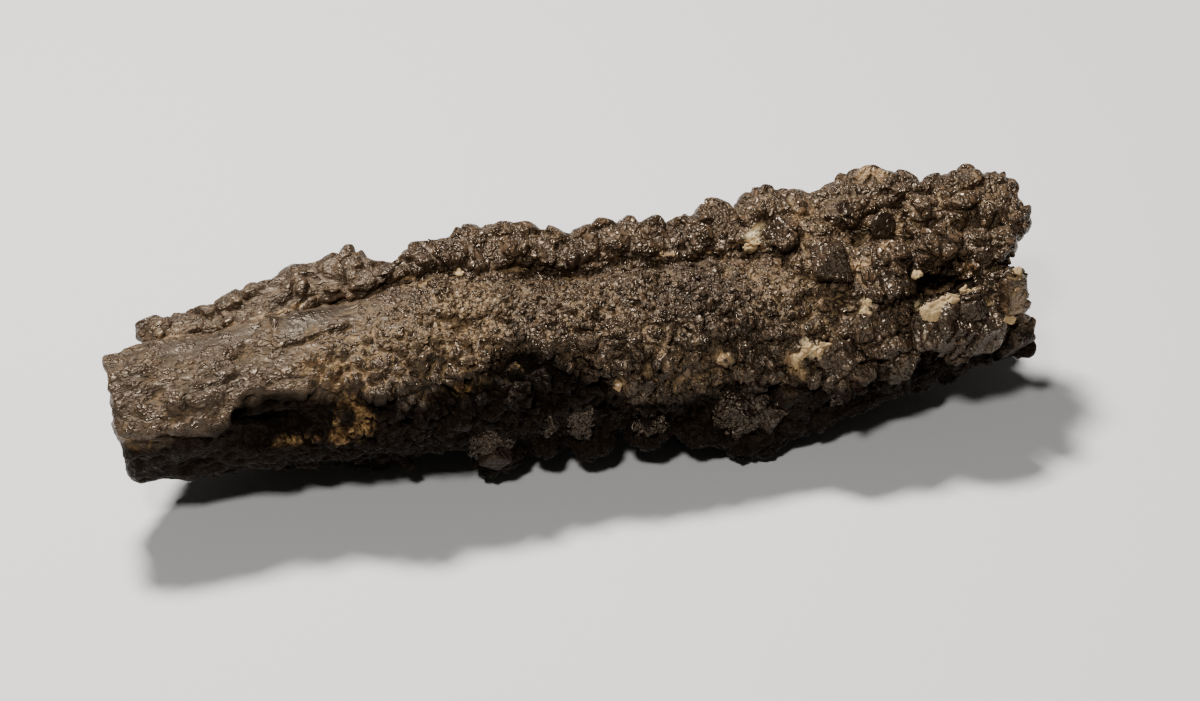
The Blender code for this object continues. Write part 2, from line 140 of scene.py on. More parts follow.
# Lumps: middle (x, y, z) and half sizes along, across and out, all in mm, after their kind where a table mixes both.
CREST_LUMPS = (
    (Lump.KNOB, -44.2, 4.8, 19.6, 2.6, 2.2, 1.7),
    (Lump.KNOB, -38.0, 5.1, 19.5, 4.4, 2.3, 1.9),
    (Lump.KNOB, -34.0, 5.4, 20.7, 4.4, 2.6, 2.2),
    (Lump.KNOB, -29.6, 5.0, 21.2, 3.2, 2.5, 2.1),
    (Lump.KNOB, -28.0, 7.3, 21.3, 3.2, 2.8, 2.4),
    (Lump.KNOB, -24.4, 7.1, 22.1, 3.2, 3.0, 2.6),
    (Lump.KNOB, -22.2, 4.8, 21.6, 1.9, 1.6, 1.5),
    (Lump.KNOB, -20.0, 5.4, 21.1, 2.3, 2.4, 1.8),
    (Lump.KNOB, -14.6, 6.8, 21.4, 3.1, 2.9, 2.5),
    (Lump.KNOB, -11.5, 5.2, 21.1, 2.1, 2.0, 1.9),
    (Lump.KNOB, -9.8, 7.6, 21.6, 3.0, 2.9, 2.6),
    (Lump.KNOB, -8.4, 4.4, 20.8, 2.8, 1.6, 1.6),
    (Lump.KNOB, -5.8, 7.4, 22.3, 3.3, 3.0, 3.0),
    (Lump.KNOB, -1.4, 7.0, 21.3, 2.5, 2.6, 2.3),
    (Lump.KNOB, 0.8, 4.6, 20.4, 2.7, 1.9, 1.7),
    (Lump.KNOB, 4.0, 6.6, 20.9, 2.9, 2.7, 2.7),
    (Lump.KNOB, 9.2, 6.3, 20.6, 3.3, 2.7, 2.5),
    (Lump.KNOB, 11.4, 4.2, 19.8, 3.0, 1.6, 1.6),
    (Lump.KNOB, 13.4, 7.0, 20.4, 2.6, 2.7, 2.4),
    (Lump.KNOB, 17.3, 7.1, 21.5, 2.8, 2.9, 2.9),
    (Lump.KNOB, 18.4, 4.4, 19.9, 2.9, 2.0, 1.9),
    (Lump.KNOB, 21.8, 7.4, 22.2, 2.6, 2.8, 2.7),
    (Lump.KNOB, 27.6, 6.4, 21.1, 2.9, 2.9, 2.5),
    (Lump.KNOB, 32.4, 6.8, 23.3, 3.4, 3.3, 3.1),
    (Lump.KNOB, 36.8, 6.1, 23.1, 2.9, 2.8, 2.6),
    (Lump.KNOB, 41.0, 5.1, 22.1, 2.8, 3.0, 2.5),
    (Lump.KNOB, 44.8, 4.8, 22.8, 3.2, 3.2, 2.8),
    (Lump.KNOB, 47.6, 3.9, 22.1, 2.8, 2.8, 2.7),
    (Lump.KNOB, -43.8, 2.6, 19.6, 1.8, 2.1, 1.4),
    (Lump.KNOB, -38.7, 3.0, 19.8, 1.9, 1.5, 1.3),
    (Lump.KNOB, -35.6, 2.9, 20.2, 2.4, 2.5, 1.9),
    (Lump.KNOB, -31.3, 3.1, 20.6, 2.7, 2.6, 2.2),
    (Lump.KNOB, -25.7, 4.9, 22.5, 1.9, 2.3, 1.5),
    (Lump.KNOB, -22.3, 4.5, 22.1, 2.0, 2.3, 1.6),
    (Lump.KNOB, -24.0, 5.1, 23.2, 1.9, 1.7, 1.5),
    (Lump.KNOB, -27.5, 3.7, 21.4, 1.9, 1.5, 1.3),
    (Lump.KNOB, -25.2, 4.2, 22.1, 1.0, 1.1, 0.8),
    (Lump.KNOB, -20.0, 4.0, 22.6, 0.8, 1.5, 0.7),
    (Lump.KNOB, -15.5, 5.3, 22.3, 1.8, 1.9, 1.4),
    (Lump.KNOB, -16.7, 4.8, 21.9, 0.8, 1.5, 0.7),
    (Lump.KNOB, -10.3, 3.7, 21.2, 1.9, 1.5, 1.4),
    (Lump.KNOB, -11.7, 5.8, 22.3, 1.5, 1.7, 1.2),
    (Lump.KNOB, -5.8, 5.0, 23.2, 1.8, 2.1, 1.4),
    (Lump.KNOB, -3.0, 5.1, 21.8, 1.6, 2.7, 1.3),
    (Lump.KNOB, 1.9, 6.0, 21.5, 1.5, 1.7, 1.2),
    (Lump.KNOB, 4.2, 5.5, 22.2, 1.5, 1.7, 1.2),
    (Lump.KNOB, 5.3, 4.4, 21.2, 1.4, 2.3, 1.1),
    (Lump.KNOB, 8.2, 4.4, 20.9, 2.2, 2.3, 1.8),
    (Lump.KNOB, 11.4, 4.4, 21.0, 1.5, 1.8, 1.2),
    (Lump.KNOB, 13.4, 3.8, 20.2, 1.2, 1.2, 0.9),
    (Lump.KNOB, 15.3, 5.2, 21.5, 1.8, 2.3, 1.5),
    (Lump.KNOB, 15.0, 4.5, 20.5, 1.7, 2.1, 1.4),
    (Lump.KNOB, 16.7, 3.4, 21.3, 1.0, 1.9, 0.8),
    (Lump.KNOB, 19.7, 5.2, 21.6, 2.0, 2.5, 1.6),
    (Lump.KNOB, 21.2, 5.4, 23.4, 1.4, 1.6, 1.1),
    (Lump.KNOB, 25.8, 5.7, 21.8, 2.1, 2.4, 1.6),
    (Lump.BLOCK, 22.8, 1.8, 22.0, 1.6, 3.1, 1.3),
    (Lump.KNOB, 31.4, 4.1, 23.3, 2.6, 2.4, 2.1),
    (Lump.KNOB, 34.1, 5.1, 24.0, 1.7, 1.6, 1.4),
    (Lump.KNOB, 36.7, 4.4, 24.0, 1.5, 2.0, 1.2),
    (Lump.KNOB, 30.3, 2.6, 22.7, 2.1, 1.8, 1.5),
)
CROWD_LUMPS = (
    (Lump.KNOB, 21.8, 2.7, 20.5, 2.3, 2.4, 1.9),
    (Lump.KNOB, 30.2, 3.1, 21.4, 2.9, 2.4, 2.2),
    (Lump.KNOB, 33.0, 0.5, 20.9, 1.2, 2.1, 1.9),
    (Lump.KNOB, 35.2, 2.7, 21.4, 2.3, 2.3, 2.0),
    (Lump.KNOB, 27.8, 0.5, 20.8, 2.2, 1.9, 1.6),
    (Lump.KNOB, 30.6, -4.0, 20.3, 3.0, 2.4, 1.8),
    (Lump.KNOB, 40.4, 0.7, 22.0, 3.6, 3.0, 2.9),
    (Lump.KNOB, 45.0, -0.2, 21.7, 2.9, 3.0, 2.5),
    (Lump.KNOB, 38.8, -3.6, 20.6, 2.9, 2.2, 2.1),
    (Lump.KNOB, 44.2, -3.9, 20.3, 2.8, 2.1, 2.2),
    (Lump.KNOB, 47.2, 0.0, 21.0, 2.8, 3.0, 2.6),
    (Lump.KNOB, 30.4, -7.4, 18.5, 3.0, 2.6, 1.8),
    (Lump.KNOB, 28.4, -10.0, 15.6, 3.4, 2.4, 1.9),
    (Lump.KNOB, 21.4, -9.0, 8.6, 3.0, 2.8, 2.2),
    (Lump.KNOB, 31.8, -10.1, 12.9, 2.4, 2.5, 1.8),
    (Lump.KNOB, 35.0, 9.4, 16.4, 3.4, 3.4, 2.4),
    (Lump.KNOB, 43.2, 8.5, 17.2, 3.2, 3.4, 2.4),
    (Lump.KNOB, 24.9, 10.4, 15.1, 3.2, 3.0, 2.0),
    (Lump.KNOB, 37.6, -0.1, 23.9, 1.5, 2.5, 1.2),
    (Lump.KNOB, 40.4, 3.1, 22.8, 1.8, 2.2, 1.5),
    (Lump.KNOB, 44.6, 2.6, 23.1, 2.4, 2.0, 1.7),
    (Lump.KNOB, 47.6, 1.9, 22.9, 1.6, 2.6, 1.3),
    (Lump.KNOB, 42.3, -0.1, 23.0, 2.1, 1.9, 1.6),
    (Lump.KNOB, 45.5, -1.3, 23.1, 2.0, 1.6, 1.4),
    (Lump.BLOCK, 48.3, -1.3, 22.6, 0.8, 2.3, 0.6),
    (Lump.KNOB, 38.3, -3.8, 21.7, 2.0, 1.7, 1.5),
    (Lump.KNOB, 42.4, -4.3, 20.8, 1.8, 1.6, 1.4),
    (Lump.KNOB, 36.7, -4.3, 20.8, 1.5, 1.7, 1.2),
    (Lump.KNOB, 45.0, -4.8, 20.6, 1.7, 1.8, 1.4),
    (Lump.KNOB, 40.8, -6.0, 19.3, 1.4, 0.9, 0.8),
    (Lump.BLOCK, 32.6, -5.6, 21.8, 1.8, 1.6, 1.4),
    (Lump.BLOCK, 31.1, -8.3, 19.7, 1.9, 1.9, 1.5),
    (Lump.KNOB, 29.5, -10.3, 17.3, 1.8, 1.4, 1.2),
    (Lump.BLOCK, 30.0, -11.7, 15.1, 2.2, 1.1, 1.0),
    (Lump.KNOB, 27.2, -12.1, 11.5, 1.4, 1.6, 1.1),
    (Lump.KNOB, 25.3, -10.1, 15.3, 0.9, 0.7, 0.6),
    (Lump.KNOB, 16.5, -10.2, 11.4, 1.4, 1.3, 1.1),
    (Lump.KNOB, 20.4, -9.7, 10.7, 1.4, 1.8, 1.1),
    (Lump.KNOB, 22.1, -10.5, 12.3, 1.2, 1.2, 0.9),
    (Lump.BLOCK, 45.3, -9.1, 16.9, 1.5, 2.2, 1.2),
    (Lump.BLOCK, 46.2, -9.0, 11.7, 1.6, 2.8, 1.3),
)
ROD_LUMPS = alike(
    Lump.KNOB,
    (
        (3.9, -9.8, 10.3, 2.7, 0.9, 0.8), (8.2, -9.9, 10.7, 2.1, 0.8, 0.7), (-2.6, -9.7, 15.9, 1.9, 0.7, 0.7),
        (10.3, -10.4, 13.3, 1.7, 1.0, 0.9), (6.4, -10.2, 13.4, 1.6, 0.8, 0.7),
        (1.4, -10.5, 13.0, 1.3, 0.8, 0.7), (-9.0, 3.0, 20.6, 3.2, 1.9, 1.2), (-4.2, 3.6, 20.4, 3.0, 1.8, 1.2),
        (1.6, 3.6, 20.4, 2.8, 1.8, 1.1), (6.8, 3.2, 20.1, 3.0, 1.8, 1.2), (17.8, 2.4, 20.5, 2.6, 1.8, 1.1),
        (27.0, 2.0, 21.3, 3.4, 2.6, 1.9), (29.4, 4.2, 22.4, 2.8, 2.6, 2.2),
    ),
)
NODULES = (
    (Lump.KNOB, -11.4, -5.9, 7.2, 2.3, 3.8, 1.9),
    (Lump.KNOB, -2.1, -8.6, 9.4, 1.5, 2.5, 1.2),
    (Lump.KNOB, 5.4, -7.9, 7.0, 1.8, 1.7, 1.4),
    (Lump.KNOB, -5.8, -8.8, 9.4, 1.0, 1.7, 0.8),
    (Lump.BLOCK, 15.8, -7.4, 7.5, 3.8, 5.0, 3.1),
    (Lump.BLOCK, 14.2, -8.3, 7.0, 1.7, 2.3, 1.4),
    (Lump.BLOCK, 18.1, -9.4, 6.3, 1.5, 2.7, 1.2),
    (Lump.KNOB, 25.4, -8.3, 7.6, 1.7, 1.9, 1.4),
)
DARK_LUMPS = alike(
    Lump.BLOCK,
    (
        (37.0, -10.9, 15.7, 2.8, 2.9, 2.3), (41.0, -11.4, 14.7, 2.3, 2.0, 1.7),
        (40.1, -10.5, 17.1, 1.6, 1.3, 1.1), (25.2, -11.6, 13.9, 2.2, 1.7, 1.5),
        (31.8, -11.0, 11.3, 1.6, 1.9, 1.3), (0.2, 4.3, 21.2, 1.9, 2.3, 1.5),
    ),
)
CHALK_BLOCKS = alike(
    Lump.BLOCK,
    (
        (35.5, -11.8, 18.3, 1.3, 0.8, 0.35), (36.6, -11.6, 18.7, 1.3, 0.7, 0.35),
        (37.6, -11.2, 19.1, 0.9, 0.5, 0.3),
    ),
)

# Small patches of chalk, which crumble into blocks: middle (x, y, z) and half sizes along, across and out, all in mm.
CHALK_PATCHES = (
    (21.9, -11.3, 15.7, 0.48, 0.4, 0.4), (22.6, -11.7, 15.4, 0.48, 0.4, 0.4),
    (23.8, -10.9, 15.3, 0.4, 0.32, 0.32), (21.3, -11.3, 14.9, 0.4, 0.32, 0.32),
    (28.7, -9.9, 19.3, 0.4, 0.4, 0.3), (28.5, -10.2, 18.7, 0.4, 0.4, 0.3), (28.3, -10.5, 18.1, 0.4, 0.4, 0.3),
    (28.1, -11.0, 17.7, 0.4, 0.4, 0.3), (19.6, 1.7, 22.1, 0.7, 0.9, 0.5), (21.2, 4.0, 22.2, 0.4, 1.2, 0.3),
    (34.6, -8.3, 20.9, 0.4, 0.4, 0.3), (40.2, -7.9, 17.7, 0.4, 0.3, 0.3), (41.1, -7.9, 17.3, 0.5, 0.3, 0.3),
    (41.7, -8.3, 17.2, 0.3, 0.3, 0.3), (44.4, -10.7, 15.1, 0.5, 0.3, 0.3), (34.5, -9.8, 13.2, 0.4, 0.8, 0.3),
    (-12.3, 3.3, 21.6, 0.5, 0.8, 0.4), (-7.4, 4.0, 22.2, 0.3, 1.0, 0.3), (-3.2, 4.1, 20.7, 0.4, 0.6, 0.3),
    (5.7, 3.4, 20.4, 0.6, 0.6, 0.5), (46.0, -8.5, 19.4, 0.3, 0.5, 0.3), (20.8, -10.5, 13.8, 0.5, 0.5, 0.4),
)

# Crystals: kind, middle (x, y, z) and half sizes in mm, and turns about x, y and z in degrees.
CRYSTALS = (
    (Crystal.PYRAMID, (26.0, -5.3, 22.0), (3.1, 3.1, 3.2), (22, 4, 38)),
    (Crystal.DISC, (33.3, -1.0, 22.9), (1.5, 1.5, 0.55), (62, 24, 0)),
    (Crystal.DISC, (34.2, -10.2, 16.1), (1.2, 1.2, 0.5), (50, 62, 0)),
    (Crystal.SHEAF, (37.8, -11.0, 15.5), (2.2, 2.2, 2.2), (24, 18, 8)),
    (Crystal.CUBE, (40.9, -11.4, 14.9), (2.2, 2.0, 2.0), (24, 16, 34)),
    (Crystal.SHEAF, (40.0, -11.0, 17.6), (1.9, 1.2, 1.3), (-22, 12, 62)),
    (Crystal.CUBE, (45.9, -8.4, 11.4), (1.8, 1.8, 1.9), (40, 10, 30)),
    (Crystal.CUBE, (25.3, -11.3, 13.4), (1.8, 1.8, 1.8), (30, 25, 50)),
    (Crystal.CUBE, (31.6, -10.5, 11.2), (1.6, 1.6, 1.6), (55, 20, 15)),
    (Crystal.CUBE, (30.2, -10.9, 14.6), (1.9, 1.2, 1.1), (25, 42, 5)),
    (Crystal.PYRAMID, (1.3, -10.5, 14.0), (0.8, 0.8, 0.8), (60, 10, 30)),
    (Crystal.PYRAMID, (12.9, -10.2, 15.1), (0.95, 0.95, 0.95), (55, -15, 10)),
    (Crystal.CUBE, (31.6, -7.4, 19.4), (1.9, 1.2, 2.4), (28, 16, 8)),
    (Crystal.CUBE, (22.9, 1.4, 22.0), (1.5, 1.7, 1.5), (25, 35, 40)),
    (Crystal.CUBE, (14.7, -7.9, 7.4), (2.0, 2.2, 2.0), (35, 20, 15)),
    (Crystal.CUBE, (17.8, -8.6, 6.6), (2.1, 2.1, 2.0), (20, 48, 65)),
    (Crystal.CUBE, (30.2, 2.4, 23.2), (0.9, 1.1, 0.9), (30, 20, 10)),
    (Crystal.CUBE, (45.2, -9.5, 17.4), (1.5, 1.0, 2.1), (-14, 10, 22)),
    (Crystal.CUBE, (16.5, -9.8, 11.4), (1.2, 1.2, 1.1), (50, 30, 15)),
    (Crystal.CUBE, (20.4, -9.5, 10.9), (1.2, 1.2, 1.1), (15, 20, 70)),
    (Crystal.CUBE, (-11.3, -7.4, 5.7), (1.6, 1.5, 1.4), (40, 35, 20)),
)

# Strokes: tool, half width, height or depth, and the path over the surface, all in mm.
STROKES = (
    (
        Tool.GROOVE, 0.75, 0.9,
        (
            (-45.4, 1.2, 20.4), (-42.6, 0.9, 20.7), (-39.7, 1.5, 20.3), (-37.2, 1.9, 20.4), (-34.9, 1.6, 21.0),
            (-32.7, 1.7, 21.1), (-30.6, 2.0, 21.3), (-28.8, 2.6, 21.5), (-26.1, 3.9, 21.6), (-24.5, 3.8, 22.1),
            (-21.4, 3.6, 22.4), (-20.2, 3.4, 22.3),
        ),
    ),
    (
        Tool.SHELF, 2.2, 1.1,
        (
            (-49.8, -8.6, 15.3), (-46.7, -9.1, 15.5), (-42.8, -9.2, 15.0), (-39.5, -9.0, 14.6),
            (-38.6, -9.0, 16.1), (-37.4, -8.6, 17.1), (-35.7, -8.7, 17.4), (-33.6, -8.6, 17.5),
            (-31.8, -8.8, 17.5),
        ),
    ),
    (
        Tool.SHELF, 2.2, 0.9,
        (
            (-27.3, -9.7, 17.2), (-23.9, -10.3, 16.8), (-22.2, -10.3, 17.4), (-19.6, -10.3, 17.2),
            (-17.9, -10.5, 16.7), (-15.1, -10.2, 17.2), (-13.2, -9.8, 17.7), (-11.1, -8.8, 18.5),
            (-9.2, -8.4, 19.2), (-6.9, -7.9, 18.9), (-4.3, -8.2, 18.4), (-2.8, -8.8, 17.4), (-0.5, -10.0, 15.7),
        ),
    ),
    (Tool.DENT, 2.6, 2.8, ((-36.6, -9.2, 16.2), (-33.3, -7.8, 14.6), (-30.2, -9.8, 15.7))),
    (Tool.DENT, 3.0, 1.4, ((-9.4, -9.3, 18.0), (-6.9, -10.1, 16.3), (-5.9, -10.9, 14.7))),
    (Tool.DENT, 0.9, 0.8, ((-14.0, 4.2, 22.0), (-12.9, 3.9, 21.8))),
    (Tool.DENT, 1.1, 0.8, ((-9.5, 5.4, 22.9), (-7.4, 5.1, 23.1))),
    (Tool.DENT, 0.8, 1.0, ((3.8, 4.3, 21.4), (4.0, 4.2, 21.4))),
    (Tool.GROOVE, 1.0, 1.2, ((6.8, 4.1, 20.6), (9.3, 3.7, 21.2), (11.2, 3.8, 21.4), (13.1, 4.4, 21.1))),
    (Tool.SHELF, 1.6, 0.8, ((33.3, -11.1, 14.0), (33.8, -9.4, 18.6), (34.0, -8.2, 20.9), (35.8, -2.2, 21.1))),
    (Tool.GROOVE, 0.9, 1.0, ((34.5, -9.8, 13.0), (35.1, -7.9, 17.4), (34.7, -8.2, 20.8), (36.0, -3.7, 21.1))),
    (Tool.DENT, 1.1, 2.4, ((36.1, -6.2, 18.6), (39.3, -4.6, 17.1), (40.9, -7.3, 18.5))),
    (
        Tool.SHELF, 1.4, 0.6,
        (
            (39.5, -4.0, 22.9), (41.7, -1.9, 22.6), (44.3, -2.5, 22.9), (47.1, -2.6, 22.2), (48.3, -2.7, 21.5),
        ),
    ),
    (Tool.GROOVE, 0.8, 0.7, ((40.4, -3.5, 22.7), (44.1, -3.0, 22.3), (47.6, -2.9, 21.2))),
    (Tool.GROOVE, 0.8, 0.6, ((44.3, -8.7, 18.9), (43.9, -9.4, 16.9), (43.6, -10.7, 15.0))),
    (Tool.GROOVE, 0.7, 0.6, ((43.8, -10.7, 15.0), (48.9, -5.6, 10.9))),
    (Tool.GROOVE, 0.8, 0.7, ((35.7, -7.6, 17.1), (34.9, -9.8, 14.8), (35.8, -9.5, 11.7), (37.3, -11.1, 11.2))),
    (Tool.SHELF, 0.9, 0.5, ((29.3, -9.4, 19.0), (31.3, -9.5, 19.0), (33.3, -9.6, 18.3))),
    (
        Tool.SHELF, 1.0, 0.6,
        (
            (22.9, -3.5, 21.5), (23.6, -4.4, 20.7), (25.6, -5.0, 20.1), (27.7, -5.2, 20.5), (28.4, -4.6, 21.3),
        ),
    ),
    (
        Tool.RIDGE, 0.9, 0.6,
        (
            (-0.4, -9.6, 10.4), (2.3, -9.7, 10.1), (4.8, -10.6, 11.1), (7.4, -10.8, 11.7), (10.0, -10.4, 11.4),
        ),
    ),
    (Tool.RIDGE, 0.8, 0.5, ((-4.2, -9.3, 17.1), (-2.6, -9.8, 16.4), (-1.0, -10.2, 14.9))),
    (
        Tool.SHELF, 1.0, 0.5,
        (
            (-33.0, -0.7, 21.5), (-33.8, -4.4, 20.6), (-32.8, -4.4, 20.8), (-30.9, -4.7, 20.9),
            (-28.3, -4.0, 21.3), (-26.0, -3.6, 21.4),
        ),
    ),
    (
        Tool.RIDGE, 0.8, 0.45,
        (
            (-41.8, -4.2, 20.1), (-40.2, -4.9, 20.0), (-38.7, -6.1, 19.3), (-36.9, -5.6, 19.7),
        ),
    ),
    (
        Tool.RIDGE, 0.8, 0.45,
        (
            (-47.5, -5.7, 19.2), (-44.2, -5.8, 19.1), (-41.4, -7.0, 18.6), (-39.2, -6.2, 19.3),
        ),
    ),
    (
        Tool.RIDGE, 0.8, 0.45,
        (
            (-47.5, -7.7, 17.6), (-44.6, -8.1, 18.3), (-42.1, -8.0, 17.6), (-39.9, -7.6, 18.2),
        ),
    ),
    (
        Tool.RIDGE, 0.8, 0.45,
        (
            (-49.7, -3.6, 19.8), (-46.8, -4.0, 20.1), (-45.1, -4.9, 19.6), (-43.0, -3.7, 20.0),
        ),
    ),
    (
        Tool.RIDGE, 0.8, 0.45,
        (
            (-34.2, -7.0, 19.1), (-31.9, -6.3, 19.8), (-29.6, -6.1, 20.3), (-27.0, -6.1, 20.4),
        ),
    ),
    (
        Tool.RIDGE, 0.7, 0.35,
        (
            (-30.7, -7.4, 19.2), (-29.1, -8.5, 18.4), (-27.7, -9.0, 18.2), (-26.5, -8.5, 18.9),
        ),
    ),
    (Tool.DENT, 2.0, 1.1, ((-16.6, -4.8, 21.3), (-15.1, -5.5, 21.0))),
    (Tool.DENT, 2.2, 1.3, ((-2.2, -10.2, 15.1), (-0.6, -10.4, 13.3), (0.5, -11.0, 12.0))),
    (Tool.DENT, 1.8, 1.1, ((9.8, -8.6, 7.6), (10.6, -9.4, 6.8))),
    (Tool.DENT, 1.5, 0.9, ((-13.3, -6.1, 20.6), (-11.8, -5.8, 20.6), (-10.2, -6.2, 20.4))),
    (Tool.DENT, 1.6, 1.0, ((3.7, -10.4, 15.2), (5.0, -10.4, 14.3))),
    (Tool.DENT, 1.4, 0.9, ((14.2, -10.0, 15.9), (14.8, -10.6, 14.7))),
    (Tool.RIDGE, 1.0, 0.5, ((-32.8, 0.2, 21.4), (-33.8, -4.0, 20.8), (-32.9, -4.6, 20.7))),
    (Tool.DENT, 1.3, 0.9, ((35.5, -1.6, 22.9), (36.4, -2.3, 23.6))),
    (Tool.DENT, 1.3, 1.0, ((39.4, -5.3, 21.2), (39.7, -5.4, 19.9))),
    (Tool.DENT, 1.2, 0.9, ((43.2, -5.8, 21.1), (43.4, -6.2, 19.8))),
    (Tool.DENT, 1.2, 0.9, ((48.1, 0.7, 23.3), (47.5, -1.3, 23.3))),
)

# Stains: ground, half width in mm, strength, and the path over the surface in mm.
STAINS = (
    (
        Ground.OCHRE, 1.1, 1.0,
        (
            (-28.2, -9.6, 17.0), (-26.7, -10.2, 16.6), (-25.8, -10.6, 15.4), (-25.5, -10.7, 13.8),
            (-26.6, -10.2, 12.3), (-28.3, -9.8, 12.2),
        ),
    ),
    (
        Ground.OCHRE, 0.5, 1.0,
        (
            (-34.3, -8.0, 11.6), (-32.5, -8.0, 11.7), (-30.8, -8.8, 11.8), (-29.3, -9.5, 12.6),
        ),
    ),
    (Ground.OCHRE, 0.6, 0.8, ((-28.7, -10.1, 15.7), (-28.7, -10.1, 14.1))),
    (
        Ground.OCHRE, 1.0, 0.6,
        (
            (-30.6, -7.1, 19.4), (-28.8, -7.2, 19.8), (-27.0, -7.6, 19.6), (-26.5, -8.4, 19.0),
            (-27.6, -9.0, 18.2), (-29.4, -8.4, 18.6),
        ),
    ),
    (Ground.OCHRE, 0.6, 0.9, ((-49.9, -8.4, 16.0), (-49.7, -8.6, 14.9), (-49.4, -8.7, 14.2))),
    (Ground.OCHRE, 0.6, 0.8, ((-16.7, -10.6, 16.5), (-15.6, -10.6, 16.4), (-15.0, -10.5, 16.7))),
    (Ground.OCHRE, 0.5, 0.7, ((-9.5, -9.5, 17.7), (-8.5, -9.6, 17.5), (-7.8, -9.3, 17.5))),
    (Ground.OCHRE, 1.0, 0.7, ((24.9, 3.0, 22.8), (26.6, 4.2, 22.0), (27.4, 3.4, 21.7))),
    (Ground.OCHRE, 0.9, 0.6, ((40.6, -6.0, 19.4), (41.3, -7.2, 19.5))),
    (
        Ground.TAN, 0.28, 1.0,
        (
            (-45.5, 1.0, 20.4), (-42.6, 0.5, 20.7), (-39.8, 0.9, 20.4), (-37.4, 0.9, 20.6), (-35.1, 0.5, 21.2),
            (-32.8, 1.0, 21.3), (-30.8, 0.9, 21.6), (-28.9, 2.1, 21.3), (-26.1, 3.8, 21.5), (-24.6, 3.5, 21.9),
            (-21.5, 3.5, 22.2), (-20.2, 3.3, 22.2),
        ),
    ),
    (
        Ground.TAN, 0.3, 0.8,
        (
            (-18.3, 4.0, 21.7), (-14.2, 3.2, 21.6), (-11.6, 2.6, 21.3), (-8.4, 2.6, 21.2), (-6.3, 3.4, 21.3),
            (-3.0, 3.9, 20.6), (0.1, 3.2, 21.1), (2.5, 3.6, 21.0), (6.3, 3.2, 20.3), (8.7, 3.1, 20.3),
            (11.0, 2.7, 20.7), (13.5, 3.2, 20.2), (16.1, 2.3, 20.6), (18.7, 2.3, 21.1),
        ),
    ),
    (Ground.TAN, 0.7, 1.0, ((1.2, -10.4, 14.0), (1.4, -10.5, 13.9))),
    (Ground.TAN, 0.8, 1.0, ((12.8, -10.1, 15.1), (13.1, -10.2, 15.0))),
    (Ground.TAN, 1.0, 0.7, ((32.6, 5.7, 25.9), (34.5, 7.0, 25.1), (35.4, 5.9, 25.2))),
    (Ground.TAN, 0.6, 0.9, ((28.0, -5.2, 20.9), (30.4, -5.2, 21.8), (32.1, -5.0, 22.8), (35.0, -1.9, 20.9))),
    (Ground.TAN, 1.2, 0.4, ((45.2, -9.5, 18.6), (45.5, -10.2, 17.1), (44.8, -10.5, 15.9))),
    (Ground.CHALK, 0.7, 1.0, ((19.4, 2.3, 21.5), (20.0, 2.3, 21.9), (21.1, 3.9, 22.1))),
    (Ground.CHALK, 1.0, 1.0, ((35.4, -8.1, 16.7), (36.6, -9.1, 16.8), (38.4, -8.8, 17.2))),
    (Ground.CHALK, 0.8, 1.0, ((21.7, -10.9, 15.7), (22.5, -11.6, 15.4), (23.8, -10.7, 14.2))),
    (Ground.TAN, 1.1, 0.9, ((20.4, -10.5, 14.0), (21.4, -10.0, 12.7), (21.9, -10.6, 12.2))),
    (Ground.CHALK, 0.5, 0.9, ((28.6, -9.0, 18.8), (28.4, -9.6, 17.9), (28.1, -10.2, 17.1))),
    (Ground.CHALK, 0.5, 0.9, ((34.3, -9.9, 14.0), (33.9, -10.9, 13.2))),
    (Ground.CHALK, 0.4, 1.0, ((34.6, -8.2, 20.8), (34.7, -8.2, 20.7))),
    (Ground.CHALK, 0.5, 1.0, ((40.1, -7.9, 17.6), (41.0, -7.8, 17.4), (41.8, -8.1, 17.2))),
    (Ground.CHALK, 0.6, 0.9, ((44.0, -10.6, 15.1), (45.2, -10.3, 14.6))),
    (Ground.CHALK, 0.2, 0.6, ((45.6, -8.4, 20.0), (46.3, -8.6, 18.8))),
    (Ground.CHALK, 0.4, 0.8, ((-12.3, 3.5, 21.7), (-12.2, 3.3, 21.6))),
    (Ground.CHALK, 0.4, 0.8, ((-7.4, 4.3, 22.2), (-7.3, 3.6, 21.8))),
    (Ground.CHALK, 0.4, 0.8, ((-3.2, 4.2, 20.7), (-3.0, 3.9, 20.6))),
    (Ground.CHALK, 0.4, 0.8, ((5.6, 3.5, 20.6), (6.0, 3.4, 20.4))),
    (Ground.CALM, 2.4, 1.0, ((-31.2, -2.2, 21.5), (-28.5, -1.2, 21.9), (-26.0, -0.6, 22.1))),
    (Ground.CALM, 1.8, 0.8, ((-44.0, -2.0, 20.9), (-40.0, -1.8, 20.9), (-36.5, -1.5, 21.2))),
)

# Where the lit side turns into the shaded side: x in mm and degrees round the rod.
SHADE_LINE = (
    (-52.0, 14.0), (-40.0, 15.0), (-38.5, 26.0), (-34.0, 30.0), (-20.0, 24.0), (-14.0, 28.0), (-9.5, 40.0),
    (-4.0, 34.0), (0.0, 18.0), (3.0, 4.0), (12.0, 0.0), (20.0, 4.0), (30.0, 0.0), (52.0, -4.0),
)

